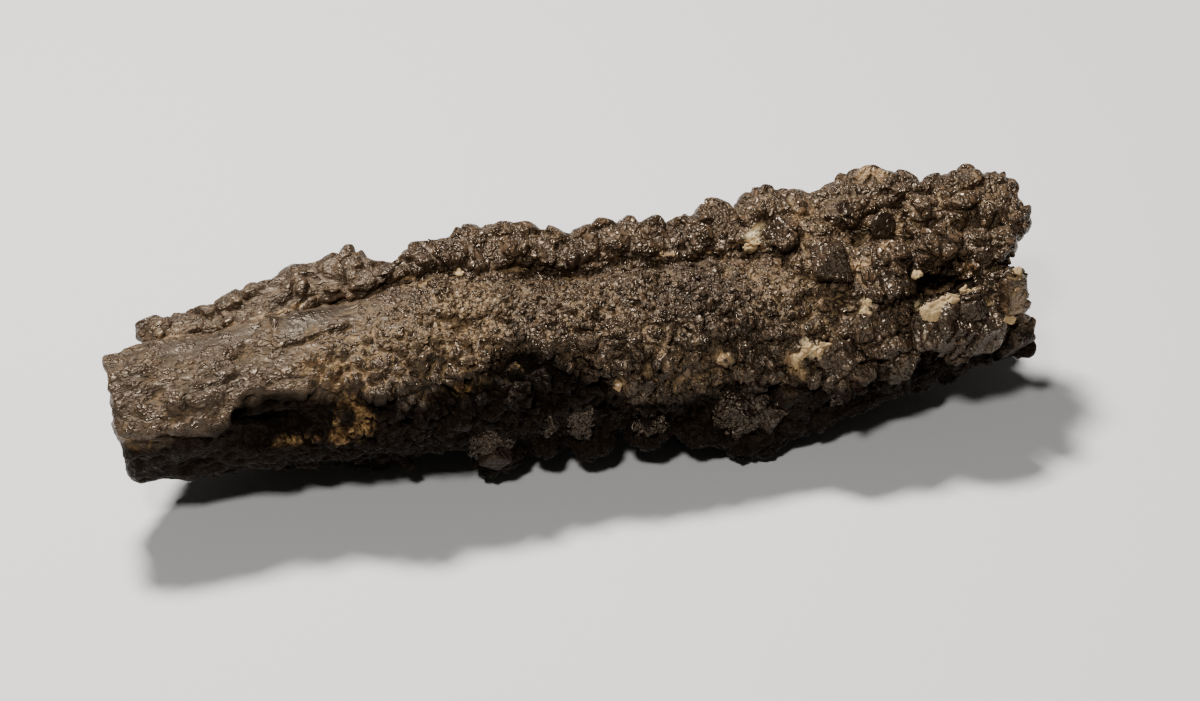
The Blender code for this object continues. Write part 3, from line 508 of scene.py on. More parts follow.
# How far the crest lies below the solid's, in mm, at each x.
SETTLED = (
    (-52.0, 1.8), (-50.0, 1.1), (-48.0, 1.2), (-46.0, 1.1), (-44.0, 0.38), (-42.0, 0.48), (-40.0, 0.84),
    (-38.0, 1.0), (-36.0, 0.91), (-34.0, 0.45), (-32.0, 0.56), (-30.0, 0.85), (-28.0, 0.59), (-26.0, 0.82),
    (-24.0, 1.01), (-22.0, 0.6), (-20.0, 0.08), (-18.0, 0.13), (-16.0, -0.02), (-14.0, -0.39), (-12.0, -0.04),
    (-10.0, 0.25), (-8.0, 0.25), (-6.0, 0.48), (-4.0, 0.77), (-2.0, 0.75), (0.0, 0.64), (2.0, 0.41),
    (4.0, 0.03), (6.0, 0.06), (8.0, 0.51), (10.0, 0.69), (12.0, 0.6), (14.0, 0.52), (16.0, 0.96), (18.0, 1.39),
    (20.0, 1.46), (22.0, 0.76), (24.0, -0.19), (26.0, -0.22), (28.0, 0.81), (30.0, 1.46), (32.0, 1.22),
    (34.0, 0.71), (36.0, 0.6), (38.0, 0.74), (40.0, 0.96), (42.0, 1.02), (44.0, 1.04), (46.0, 0.63),
    (48.0, 0.7), (50.0, 0.46), (52.0, 0.02),
)


# ---------------------------------------------------------------- patterns in space


def smoothstep(values: np.ndarray, low: float, high: float) -> np.ndarray:
    """An even ramp from 0 at low to 1 at high."""
    share = np.clip((values - low) / (high - low), 0.0, 1.0)
    return share * share * (3.0 - 2.0 * share)


def between(values: np.ndarray, zone: Zone) -> np.ndarray:
    """1 inside the zone, 0 outside it, and an even ramp on each side."""
    (start, full), (fading, gone) = zone
    return smoothstep(values, start, full) * (1.0 - smoothstep(values, fading, gone))


def hashed(cells: np.ndarray, salt: int) -> np.ndarray:
    """One repeatable random number from 0 to 1 for each whole-numbered cell.

    Args:
        cells: whole numbers, one row of three for each place.
        salt: a number that gives each use its own randoms.

    Returns:
        A number for each row.
    """
    cells = cells.astype(np.int64)
    mixed = cells[:, 0] * 73856093 ^ cells[:, 1] * 19349663 ^ cells[:, 2] * 83492791
    mixed = (mixed + salt * 6364136223) & LARGEST_HASH
    for shift, factor in ((13, 1274126177), (15, 1103515245), (11, 1664525)):
        mixed = ((mixed ^ (mixed >> shift)) * factor) & LARGEST_HASH
    return mixed / float(LARGEST_HASH)


def noise(points: np.ndarray, size: float, salt: int, octaves: int = 1) -> np.ndarray:
    """Smooth noise from -1 to 1, with features about size across.

    Args:
        points: places in mm.
        size: width of the widest features, in mm.
        salt: a number that gives each use its own pattern.
        octaves: how many times it is added at half the size and half the height.

    Returns:
        A value for each point.
    """
    total = np.zeros(len(points))
    reach = 0.0
    for octave in range(octaves):
        scaled = points * (2.0**octave / size) + 17.3 * octave
        base = np.floor(scaled)
        part = scaled - base
        part = part * part * (3.0 - 2.0 * part)
        value = np.zeros(len(points))
        for corner in np.ndindex(2, 2, 2):
            corner = np.array(corner)
            weight = np.prod(np.where(corner == 1, part, 1.0 - part), axis=1)
            value += weight * hashed(base + corner, salt + octave)
        total += (value * 2.0 - 1.0) * 0.5**octave
        reach += 0.5**octave
    return total / reach


def drifted(points: np.ndarray, size: float, reach: float, salt: int) -> np.ndarray:
    """The points moved about smoothly, so that a pattern read there isn't regular."""
    moves = [noise(points, size, salt + 11 * axis, 2) for axis in range(3)]
    return points + reach * np.stack(moves, axis=1)


@dataclass
class Grains:
    """What a ground of grains is like at each point.

    Attributes:
        near: distance to the middle of the grain, in grain sizes.
        edge: how far inside its grain the point is, 0 on the border.
        cell: three whole numbers that name the grain.
        offset: the way from the middle of the grain to the point, in grain sizes.
    """

    near: np.ndarray
    edge: np.ndarray
    cell: np.ndarray
    offset: np.ndarray


def grains(points: np.ndarray, size: float, salt: int) -> Grains:
    """Divides space into grains about size across and says where each point is in its grain.

    Args:
        points: places in mm.
        size: the width of a grain, in mm.
        salt: a number that gives each use its own grains.

    Returns:
        The grain at each point.
    """
    scaled = points / size
    base = np.floor(scaled)
    near, second = np.full(len(points), FAR), np.full(len(points), FAR)
    nearest, offset = np.zeros((len(points), 3)), np.zeros((len(points), 3))
    for step in np.ndindex(3, 3, 3):
        cell = base + (np.array(step) - 1)
        middle = cell + 0.5
        for axis in range(3):
            middle[:, axis] += UNEVEN_GRAINS * (hashed(cell, salt + axis) - 0.5)
        away = scaled - middle
        distance = np.sqrt((away**2).sum(axis=1))
        closer = distance < near
        second = np.where(closer, near, np.minimum(second, distance))
        near = np.where(closer, distance, near)
        nearest[closer] = cell[closer]
        offset[closer] = away[closer]
    return Grains(near, second - near, nearest, offset)


def facets(found: Grains, salt: int, tilt: float = 0.8, crevice: float = 0.3) -> np.ndarray:
    """How high each point lies when every grain is a block with a flat top at its own tilt.

    Args:
        found: the grain at each point.
        salt: a number that gives each use its own tilts.
        tilt: how much higher one side of a block is than its middle.
        crevice: how far the crevices reach into the grains, in grain sizes.

    Returns:
        -0.5 in the crevices, and up to about 0.5 on the blocks.
    """
    lean = np.stack([hashed(found.cell, salt + axis) - 0.5 for axis in range(3)], axis=1)
    top = 0.55 + 0.35 * hashed(found.cell, salt + 5) + 2.0 * tilt * (found.offset * lean).sum(axis=1)
    return smoothstep(found.edge, 0.0, crevice) * np.clip(top, 0.15, 1.2) - 0.5


def path_reach(points: np.ndarray, path: Path, outward: np.ndarray) -> tuple[np.ndarray, np.ndarray]:
    """How far each point is from a path over the surface.

    Args:
        points: places in mm.
        path: the corners of the path, in mm.
        outward: the outward direction at each point.

    Returns:
        The distance to the path, and how far to the left of it the point lies, both in mm.
    """
    corners = np.array(path, float)
    nearest, left = np.full(len(points), FAR), np.zeros(len(points))
    for start, end in zip(corners, corners[1:]):
        run = end - start
        share = np.clip((points - start) @ run / (run @ run), 0.0, 1.0)
        away = points - (start + share[:, None] * run)
        distance = np.linalg.norm(away, axis=1)
        across = np.cross(outward, run / np.linalg.norm(run))
        closer = distance < nearest
        nearest = np.where(closer, distance, nearest)
        left = np.where(closer, (away * across).sum(axis=1), left)
    return nearest, left


@dataclass(frozen=True)
class Rod:
    """The rod that the stone grew round, as it lies in the part's frame.

    Attributes:
        stations: x, middle y, middle z, half depth and half height along the rod, in mm.
        middle: x of its middle, in mm.
        ends: how far from its middle the ends begin to round off and are all end, in mm.
        crest: where the crest stands, in degrees round the rod.
        lean: how far borders across the rod lean, in mm for each degree round it.
        upright: where a leaning border is at its own x, in degrees round the rod.
    """

    stations: tuple[tuple[float, float, float, float, float], ...] = (
        (-58.6, 0.2, 13.5, 8.2, 7.2),
        (-44.6, 0.2, 13.0, 9.2, 8.0),
        (-27.6, 0.2, 13.1, 10.7, 9.3),
        (-18.6, 0.2, 13.1, 11.3, 9.9),
        (-8.6, 0.2, 12.4, 11.1, 9.8),
        (2.4, 0.2, 11.8, 10.8, 9.5),
        (14.4, 0.2, 11.4, 10.8, 9.3),
        (33.4, 0.2, 12.5, 9.8, 8.2),
        (47.9, 1.0, 13.3, 7.4, 6.4),
    )
    middle: float = 0.4
    ends: tuple[float, float] = (45.5, 50.0)
    crest: Zone = ((84.0, 104.0), (165.0, 185.0))
    lean: float = 0.10
    upright: float = 60.0

    def section(self, points: np.ndarray) -> list[np.ndarray]:
        """Middle y and z, half depth and half height of the rod at each point's x."""
        table = np.array(self.stations)
        return [np.interp(points[:, 0], table[:, 0], table[:, row]) for row in range(1, 5)]

    def clock(self, points: np.ndarray) -> np.ndarray:
        """Degrees round the rod: 0 is the front, 90 the top, 180 the back, -90 the underside."""
        y, z, depth, height = self.section(points)
        return np.degrees(np.arctan2((points[:, 2] - z) / height, -(points[:, 1] - y) / depth))

    def leaning(self, points: np.ndarray) -> np.ndarray:
        """Each point's x, moved so that a border read there leans across the rod."""
        return points[:, 0] - self.lean * (self.clock(points) - self.upright)

    def settle(self, points: np.ndarray) -> np.ndarray:
        """Lets the crest down to its height.

        Args:
            points: places in mm.

        Returns:
            The places, those of the crest moved in.
        """
        share = between(self.clock(points), self.crest)
        table = np.array(SETTLED)
        lowered = share * np.interp(points[:, 0], table[:, 0], table[:, 1])
        return points - self.outward(points) * lowered[:, None]

    def outward(self, points: np.ndarray) -> np.ndarray:
        """Finds the way straight out of the rod.

        Args:
            points: places in mm.

        Returns:
            A direction one unit long for each point.
        """
        y, z, depth, height = self.section(points)
        out = np.stack([points[:, 0] * 0.0, (points[:, 1] - y) / depth, (points[:, 2] - z) / height], axis=1)
        out /= np.linalg.norm(out, axis=1, keepdims=True) + TINY
        ends = smoothstep(np.abs(points[:, 0] - self.middle), *self.ends) * 0.9
        out[:, 0] += np.sign(points[:, 0]) * ends
        return out / (np.linalg.norm(out, axis=1, keepdims=True) + TINY)


ROD = Rod()


# ---------------------------------------------------------------- working on a mesh


class Skin:
    """A mesh whose points are worked in code, in mm."""

    def __init__(self, obj: bpy.types.Object) -> None:
        """Reads the mesh.

        Args:
            obj: the object whose mesh it is.
        """
        self.obj = obj
        flat = np.empty(len(obj.data.vertices) * 3, np.float32)
        obj.data.vertices.foreach_get("co", flat)
        self.points = flat.reshape(-1, 3).astype(np.float64) / MM

    def write(self) -> None:
        """Gives the points to the mesh."""
        self.obj.data.vertices.foreach_set("co", (self.points * MM).astype(np.float32).ravel())
        self.obj.data.update()

    def normals(self) -> np.ndarray:
        """Reads the directions that the surface faces.

        Returns:
            A direction for each point.
        """
        flat = np.empty(len(self.obj.data.vertices) * 3, np.float32)
        self.obj.data.vertex_normals.foreach_get("vector", flat)
        return flat.reshape(-1, 3).astype(np.float64)

    def spread(self, values: np.ndarray, rounds: int) -> np.ndarray:
        """Evens the values out with their neighbours' along the surface.

        Args:
            values: a number or a row of numbers for each point.
            rounds: how many times it is done.

        Returns:
            The evened values, in the same shape.
        """
        flat = np.empty(len(self.obj.data.edges) * 2, np.int32)
        self.obj.data.edges.foreach_get("vertices", flat)
        ends = flat.reshape(-1, 2)
        count = len(self.points)
        links = np.maximum(np.bincount(flat, minlength=count), 1.0)[:, None]
        wide = values if values.ndim > 1 else values[:, None]
        for _ in range(rounds):
            sums = [
                np.bincount(ends[:, 0], wide[ends[:, 1], row], count)
                + np.bincount(ends[:, 1], wide[ends[:, 0], row], count)
                for row in range(wide.shape[1])
            ]
            wide = 0.5 * wide + 0.5 * np.stack(sums, axis=1) / links
        return wide if values.ndim > 1 else wide[:, 0]

    def push(self, height: np.ndarray, rounds: int = 5) -> None:
        """Moves each point out by its height, along the evened normals."""
        self.points = self.points + self.spread(self.normals(), rounds) * height[:, None]
        self.write()

    def stand_out(self, rounds: int, evened: int) -> np.ndarray:
        """How far each point stands out of the ground round it, in mm: below 0 in a hollow."""
        away = self.points - self.spread(self.points, rounds)
        return (away * self.spread(self.normals(), evened)).sum(axis=1)

    def sharpen(self, share: np.ndarray | float, rounds: int = 36) -> None:
        """Deepens the creases between lumps and raises the lumps."""
        self.push(share * np.clip(self.stand_out(rounds, 4), -1.0, 1.0), 4)

    def melt(self, share: float, rounds: int = 12) -> None:
        """Fills the creases between lumps, so that they run into one another."""
        self.push(share * np.clip(-self.stand_out(rounds, 4), 0.0, 1.5), 4)

    def rest(self) -> None:
        """Keeps the points above the floor and gives them to the mesh."""
        self.points[:, 2] = np.maximum(self.points[:, 2], 0.0)
        self.write()

    def mark(self, name: str, values: np.ndarray) -> None:
        """Keeps a value at each point, for the finish to read by name.

        Args:
            name: the name of the mark.
            values: a number for each point, kept between 0 and 1.
        """
        marks = self.obj.data.attributes
        layer = marks[name] if name in marks else marks.new(name, "FLOAT", "POINT")
        layer.data.foreach_set("value", np.clip(values, 0.0, 1.0).astype(np.float32))


@dataclass
class Relief:
    """How strongly each kind of relief shows, as heights in mm: one number, or one for each point.

    Attributes:
        grain: small flat-topped grains.
        block: blocks about twice as wide.
        boulder: the widest blocks.
        wrinkle: creases that wind through everything.
        flow: folds drawn out along the rod, as on a worn surface.
        uneven: wide swells.
        rough: fine roughness.
        striped: the even ridges of stacked plates, in patches.
    """

    grain: np.ndarray | float = 0.0
    block: np.ndarray | float = 0.0
    boulder: np.ndarray | float = 0.0
    wrinkle: np.ndarray | float = 0.0
    flow: np.ndarray | float = 0.0
    uneven: np.ndarray | float = 0.0
    rough: np.ndarray | float = 0.0
    striped: np.ndarray | float = 0.0

    def height(self, points: np.ndarray) -> np.ndarray:
        """Adds up the kinds of relief.

        Args:
            points: places in mm.

        Returns:
            The height at each point, in mm.
        """
        moved = drifted(points, 2.0, 0.45, 3)
        total = np.zeros(len(points))
        if np.any(self.grain):
            total += self.grain * facets(grains(moved, GRAIN_WIDTH, 21), 61)
        if np.any(self.block):
            total += self.block * facets(grains(moved, BLOCK_WIDTH, 43), 71)
        if np.any(self.boulder):
            total += self.boulder * facets(grains(drifted(points, 4.0, 1.0, 5), BOULDER_WIDTH, 87), 91)
        if np.any(self.wrinkle):
            total += self.wrinkle * (0.6 - 2.0 * np.abs(noise(moved, 2.3, 35, 3)))
        if np.any(self.flow):
            total += self.flow * self.folds(points)
        if np.any(self.striped):
            total += self.plates(points)
        total += self.uneven * noise(points, 4.5, 23, 2)
        total += self.rough * noise(points, 1.5, 29, 3)
        return total

    def folds(self, points: np.ndarray) -> np.ndarray:
        """Raises long folds that lie along the rod.

        Args:
            points: places in mm.

        Returns:
            The height of the folds, from about -1 to 1.
        """
        along = np.array([0.93, 0.10, 0.34])
        along /= np.linalg.norm(along)
        drawn = drifted(points, 4.0, 0.8, 9)
        drawn = drawn - 0.60 * (drawn @ along)[:, None] * along
        return 0.6 - 1.6 * np.abs(noise(drawn, 1.5, 15, 2)) + noise(drawn, 2.6, 16, 2)

    def plates(self, points: np.ndarray) -> np.ndarray:
        """Raises the even ridges of stacked plates, in patches.

        Args:
            points: places in mm.

        Returns:
            The height of the ridges, in mm.
        """
        across = drifted(points, 3.0, 0.5, 19) @ np.array([0.94, -0.10, 0.32])
        leaning = noise(points, 3.5, 27, 2)
        ridges = 1.0 - 2.2 * np.abs((across / PLATE_WIDTH + leaning) % 1.0 - 0.5)
        return self.striped * ridges * smoothstep(leaning, -0.3, 0.1)


def select_only(*objects: bpy.types.Object) -> None:
    """Selects these objects and no other, and makes the first the active one.

    Args:
        objects: what to select.
    """
    bpy.ops.object.select_all(action="DESELECT")
    for obj in objects:
        obj.select_set(True)
    bpy.context.view_layer.objects.active = objects[0]


def apply_modifier(obj: bpy.types.Object, name: str) -> None:
    """Applies one modifier of the object."""
    select_only(obj)
    bpy.ops.object.modifier_apply(modifier=name)


def remesh(obj: bpy.types.Object, voxel: float) -> None:
    """Gives the object one even skin.

    Args:
        obj: the object.
        voxel: how wide the skin's faces are, in mm.
    """
    modifier = obj.modifiers.new("even_skin", "REMESH")
    modifier.mode = "VOXEL"
    modifier.voxel_size = voxel * MM
    apply_modifier(obj, modifier.name)


def thin(obj: bpy.types.Object, triangles: int) -> None:
    """Keeps the triangles that carry the relief and drops the rest.

    Args:
        obj: the object.
        triangles: how many it keeps.
    """
    obj.data.calc_loop_triangles()
    share = triangles / len(obj.data.loop_triangles)
    if share < 1.0:
        modifier = obj.modifiers.new("thin", "DECIMATE")
        modifier.ratio = share
        modifier.use_collapse_triangulate = True
        apply_modifier(obj, modifier.name)


def join(objects: list[bpy.types.Object]) -> bpy.types.Object:
    """Joins the objects into the first.

    Args:
        objects: what to join.

    Returns:
        The first, which now holds them all.
    """
    select_only(*objects)
    bpy.ops.object.join()
    return objects[0]


def bevel_and_divide(bevel: float, segments: int, cuts: int) -> None:
    """Blunts the edges of the active object and divides its faces.

    Args:
        bevel: the width of the bevel.
        segments: how many faces the bevel has across.
        cuts: how many times each edge is cut.
    """
    bpy.ops.object.mode_set(mode="EDIT")
    bpy.ops.mesh.select_all(action="SELECT")
    bpy.ops.mesh.bevel(offset=bevel, segments=segments)
    bpy.ops.mesh.subdivide(number_cuts=cuts)
    bpy.ops.object.mode_set(mode="OBJECT")


def link(name: str, mesh: bpy.types.Mesh) -> bpy.types.Object:
    """Puts a mesh into the scene.

    Args:
        name: the name of its object.
        mesh: the mesh.

    Returns:
        The object.
    """
    obj = bpy.data.objects.new(name, mesh)
    bpy.context.scene.collection.objects.link(obj)
    return obj


def make_knob() -> bpy.types.Object:
    """Models a round knob.

    Returns:
        The knob, one unit in radius.
    """
    bpy.ops.object.select_all(action="DESELECT")
    bpy.ops.mesh.primitive_ico_sphere_add(subdivisions=4, radius=1.0)
    return bpy.context.active_object


def make_block() -> bpy.types.Object:
    """Models a cube with blunt edges.

    Returns:
        The block, which reaches about one unit from its middle.
    """
    bpy.ops.object.select_all(action="DESELECT")
    bpy.ops.mesh.primitive_cube_add(size=1.7)
    bevel_and_divide(bevel=0.25, segments=3, cuts=3)
    return bpy.context.active_object


def lump_axes(x: float, y: float, z: float) -> Matrix:
    """Finds the axes at a place on the stone.

    Args:
        x: the place along the rod, in mm.
        y: its place across the rod, in mm.
        z: its height, in mm.

    Returns:
        A turn to axes along the rod, across it and out of it.
    """
    up = Vector(ROD.outward(np.array([[x, y, z]]))[0])
    side = up.cross(Vector((1.0, 0.0, 0.0))).normalized()
    return Matrix((side.cross(up), side, up)).transposed().to_4x4()


def shape_lump(skin: Skin, kind: Lump, out: float, rng: np.random.Generator) -> None:
    """Cuts flats on a lump, makes it uneven and turns it.

    Args:
        skin: the lump's skin, one unit in reach.
        kind: what kind of lump it is.
        out: how far it will stand out, in mm.
        rng: the source of its randoms.
    """
    unit = skin.points * MM
    widest = BLOCK_TURN if kind is Lump.BLOCK else KNOB_TURN
    turn = np.array(Euler(rng.uniform(-widest, widest, 3)).to_matrix())
    for cut in rng.normal(size=(FLATS, 3)):
        cut /= np.linalg.norm(cut)
        beyond = np.maximum(unit @ cut - rng.uniform(*FLAT_REACH), 0.0)
        unit = unit - FLATTENED * beyond[:, None] * cut
    salt = int(rng.integers(1, MOST_SALTS))
    uneven = noise(unit, 1.2, salt) + 0.6 * noise(unit, 0.55, salt + 7)
    reach = min(0.24, 0.42 / out) if kind is Lump.KNOB else 0.10
    unit = unit * (1.0 + reach * uneven)[:, None]
    skin.points = (unit @ turn.T) / MM
    skin.write()


def make_lumps(rows: LumpRows, seed: int, swell: float = 1.0) -> list[bpy.types.Object]:
    """Copies the knob and the block to the rows' places, no two alike.

    Args:
        rows: kind, middle and half sizes of each lump, in mm.
        seed: a number that gives each table its own shapes.
        swell: how much larger than its row a lump is made.

    Returns:
        The lumps.
    """
    masters = {Lump.KNOB: make_knob(), Lump.BLOCK: make_block()}
    rng = np.random.default_rng(seed)
    made = []
    for kind, x, y, z, along, across, out in rows:
        lump = link("lump", masters[kind].data.copy())
        shape_lump(Skin(lump), kind, out, rng)
        size = Matrix.Diagonal((along * swell * MM, across * swell * MM, out * swell * MM, 1.0))
        lump.data.transform(Matrix.Translation(Vector((x, y, z)) * MM) @ lump_axes(x, y, z) @ size)
        made.append(lump)
    for master in masters.values():
        bpy.data.objects.remove(master)
    return made


def stain(points: np.ndarray, ground: Ground) -> np.ndarray:
    """Finds how strongly each point is stained, or worn calm.

    Args:
        points: places in mm.
        ground: the kind of stain.

    Returns:
        A number from 0 to 1 for each point.
    """
    outward = ROD.outward(points)
    wavy = drifted(points, 1.6, 0.35, 51)
    ragged = 0.45 * noise(points, 0.8, 57, 3)
    total = np.zeros(len(points))
    for kind, width, strength, path in STAINS:
        if kind is ground:
            distance, _ = path_reach(wavy, path, outward)
            total = np.maximum(total, strength * (1.0 - smoothstep(distance / width + ragged, 0.45, 1.2)))
    return total


def mark_ground(skin: Skin, dusty: float = 1.0, shaded: float = 1.0) -> None:
    """Marks hollows, tops, dust, the shaded underside where the finish paints shade, and the stains.

    Args:
        skin: the finished skin.
        dusty: how much dust lies in the hollows.
        shaded: how strongly shade is painted on the underside.
    """
    points = skin.points
    x, clock = points[:, 0], ROD.clock(points)
    near, wide = skin.stand_out(3, 2), skin.stand_out(20, 2)
    # where this marks a hollow the finish lays dust and also paints shade
    hollow = 0.7 * smoothstep(-near, 0.0, 0.08) + 0.6 * smoothstep(-wide, 0.02, 0.40)
    skin.mark("hollow", hollow)
    skin.mark("top", smoothstep(near, 0.0, 0.06))
    line = np.interp(x, *zip(*SHADE_LINE))
    # painted shade: below the shade line the finish darkens the colour and the shine
    under = shaded * (1.0 - smoothstep(clock - line + 12.0 * noise(points, 4.0, 33, 2), -9.0, 5.0))
    skin.mark("under", under)
    worn = (1.0 - smoothstep(x, -30.0, -12.0)) * smoothstep(clock, -10.0, 20.0)
    skin.mark("worn", worn)
    facing_up = smoothstep(skin.normals()[:, 2], -0.1, 0.7)
    patches = 0.6 + 0.8 * noise(points, 7.0, 31, 2)
    settled = dusty * (1.0 - 0.8 * under) * (1.0 - 0.4 * worn) * facing_up * patches
    skin.mark("dust", settled * (0.12 + 1.0 * hollow))
    for ground in Ground:
        skin.mark(ground.value, stain(points, ground))


# ---------------------------------------------------------------- the stone's pieces


@dataclass
class RodBody:
    """The rod, with its worn end, its shoulder, its pit and its ledges.

    Attributes:
        voxel: width of the fine skin's faces while it is worked, in mm.
        triangles: how many triangles the finished skin keeps.
        sharpness: how much the creases are deepened.
        pressed: how far the rod is sunk under the crest and the crystals, in mm.
        crest_bed: where the crest stands on it, in degrees round the rod.
        crowd_start: where the crowd of crystals begins and is all there, as x in mm.
        worn_end: where the worn end gives way to rough ground, as x in mm.
        smooth_tip: where the ground turns smoother at the crystal end, as x in mm.
        front: the front, in degrees round the rod.
        lower_front: the lower front, in degrees round the rod.
        ground: the worked skin's points, which carry the crust. They are there once it is built.
        facing: the evened direction that the skin faces at each of them.
    """

    voxel: float = 0.17
    triangles: int = 190_000
    sharpness: float = 0.8
    pressed: float = 0.5
    crest_bed: Zone = ((96.0, 106.0), (145.0, 160.0))
    crowd_start: tuple[float, float] = (26.0, 31.0)
    worn_end: tuple[float, float] = (-34.0, -20.0)
    smooth_tip: tuple[float, float] = (38.0, 46.0)
    front: Zone = ((-60.0, -10.0), (150.0, 170.0))
    lower_front: Zone = ((-40.0, -10.0), (30.0, 75.0))
    ground: np.ndarray = field(default_factory=lambda: np.empty(0), init=False)
    facing: np.ndarray = field(default_factory=lambda: np.empty(0), init=False)

    def build(self) -> bpy.types.Object:
        """Models the rod from the part's solid.

        Returns:
            The finished piece.
        """
        obj = self.copy_solid()
        rounding = obj.modifiers.new("rounding", "SUBSURF")
        rounding.levels = rounding.render_levels = 1
        apply_modifier(obj, rounding.name)
        obj = join([obj, *make_lumps(ROD_LUMPS, 5)])
        remesh(obj, self.voxel)
        skin = Skin(obj)
        log.info("rod: %d points while it is worked", len(skin.points))
        clock = ROD.clock(skin.points)
        crest = between(clock, self.crest_bed)
        crowd = smoothstep(skin.points[:, 0], *self.crowd_start) * smoothstep(clock, -50.0, -30.0)
        crowd = crowd * (1.0 - smoothstep(clock, 140.0, 155.0))
        skin.sharpen(self.sharpness * (1.0 - np.maximum(crest, crowd)))
        skin.points = ROD.settle(skin.points)
        self.carve(skin)
        sunk = self.pressed * np.maximum(0.3 * crest, 0.8 * crowd)
        skin.push(self.relief(skin).height(skin.points) - sunk)
        skin.rest()
        self.ground, self.facing = skin.points.copy(), skin.spread(skin.normals(), 6)
        thin(obj, self.triangles)
        mark_ground(Skin(obj))
        return obj

    def copy_solid(self) -> bpy.types.Object:
        """Copies the part's solid and merges the copy's points.

        Returns:
            The copy, as an object of its own.
        """
        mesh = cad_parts[NODE].data.copy()
        bm = bmesh.new()
        bm.from_mesh(mesh)
        bmesh.ops.remove_doubles(bm, verts=bm.verts, dist=SAME_POINT)
        bm.to_mesh(mesh)
        bm.free()
        return link("rod_body", mesh)

    def carve(self, skin: Skin) -> None:
        """Works the strokes into the skin.

        Args:
            skin: the rod's skin.
        """
        outward = ROD.outward(skin.points)
        wavy = drifted(skin.points, 2.4, 0.65, 7)
        broken = 0.65 + 0.6 * noise(skin.points, 3.0, 8, 2)
        for tool, width, height, path in STROKES:
            corners = np.array(path)
            low, high = corners.min(axis=0) - width - 0.8, corners.max(axis=0) + width + 0.8
            near = np.flatnonzero(((skin.points > low) & (skin.points < high)).all(axis=1))
            distance, left = path_reach(wavy[near], path, outward[near])
            fall = np.clip(1.0 - (distance / width) ** 2, 0.0, 1.0) ** 2
            if tool is Tool.DENT:
                fall = smoothstep(1.0 - distance / width, 0.0, 0.30)
            if tool is Tool.SHELF:
                fall = fall * np.clip(left / (0.20 * width), -1.0, 1.0)
            elif tool is not Tool.RIDGE:
                fall = -fall
            skin.points[near] += outward[near] * (height * fall * broken[near])[:, None]
        skin.write()

    def relief(self, skin: Skin) -> Relief:
        """Sets how the ground changes along the rod: flow lines on the worn end, and ever rougher from there.

        Args:
            skin: the rod's skin.

        Returns:
            The relief at each of its points.
        """
        x, clock = skin.points[:, 0], ROD.clock(skin.points)
        worn = 1.0 - smoothstep(ROD.leaning(skin.points) + 3.0 * noise(skin.points, 7.0, 61), *self.worn_end)
        behind = 1.0 - between(clock, self.front)
        low = between(clock, self.lower_front)
        calm = 1.0 - 0.85 * stain(skin.points, Ground.CALM)
        rough = (1.0 - 0.85 * worn) * (1.0 - 0.6 * smoothstep(x, *self.smooth_tip))
        return Relief(
            grain=0.16 * rough * calm,
            block=rough * (0.20 + 0.45 * low) * calm,
            boulder=rough * (0.10 + 1.00 * low + 0.30 * behind) * calm,
            flow=0.42 * worn * calm,
            wrinkle=(0.24 + 0.05 * behind) * calm,
            uneven=(0.40 + 0.10 * rough) * calm,
            rough=0.24 * calm,
        )


def bridged(rows: LumpRows, reach: float) -> LumpRows:
    """Adds a lower lump between each two neighbours, so that they make one ridge.

    Args:
        rows: the lumps.
        reach: how far apart two lumps are bridged, in the mean of their half lengths.

    Returns:
        The rows, with the new ones after them.
    """
    added = []
    for number, first in enumerate(rows):
        for second in rows[number + 1 :]:
            apart = math.dist(first[1:4], second[1:4])
            if 1.0 < apart < reach * 0.5 * (first[4] + second[4]):
                x, y, z = (0.5 * (a + b) for a, b in zip(first[1:4], second[1:4]))
                along, across, out = (0.5 * (a + b) for a, b in zip(first[4:7], second[4:7]))
                added.append((Lump.KNOB, x, y, z - 0.3, along, across, 0.85 * out))
    return rows + tuple(added)


def crumbled(rows: tuple[Sizes, ...], seed: int = 4) -> LumpRows:
    """Breaks small patches of chalk up: each becomes a flat block with three smaller ones strewn over it.

    Args:
        rows: middle and half sizes of each patch, in mm.
        seed: a number that gives the small blocks their places.

    Returns:
        A row for each block.
    """
    rng = random.Random(seed)
    flat = [(Lump.BLOCK, x, y, z, round(a * 0.9, 1), round(b * 0.9, 1), round(c * 0.8, 2)) for x, y, z, a, b, c in rows]
    strewn = []
    for x, y, z, along, across, out in rows:
        for _ in range(3):
            share = rng.uniform(0.45, 0.85)
            place = (
                round(x + rng.uniform(-1, 1) * along * 0.9, 1),
                round(y + rng.uniform(-1, 1) * across * 0.5, 1),
                round(z + rng.uniform(-1, 1) * across * 0.7, 1),
            )
            sizes = (round(along * share + 0.1, 1), round(across * share + 0.1, 1), round(out * share * 0.8 + 0.05, 2))
            strewn.append((Lump.BLOCK, *place, *sizes))
    return (*flat, *strewn)


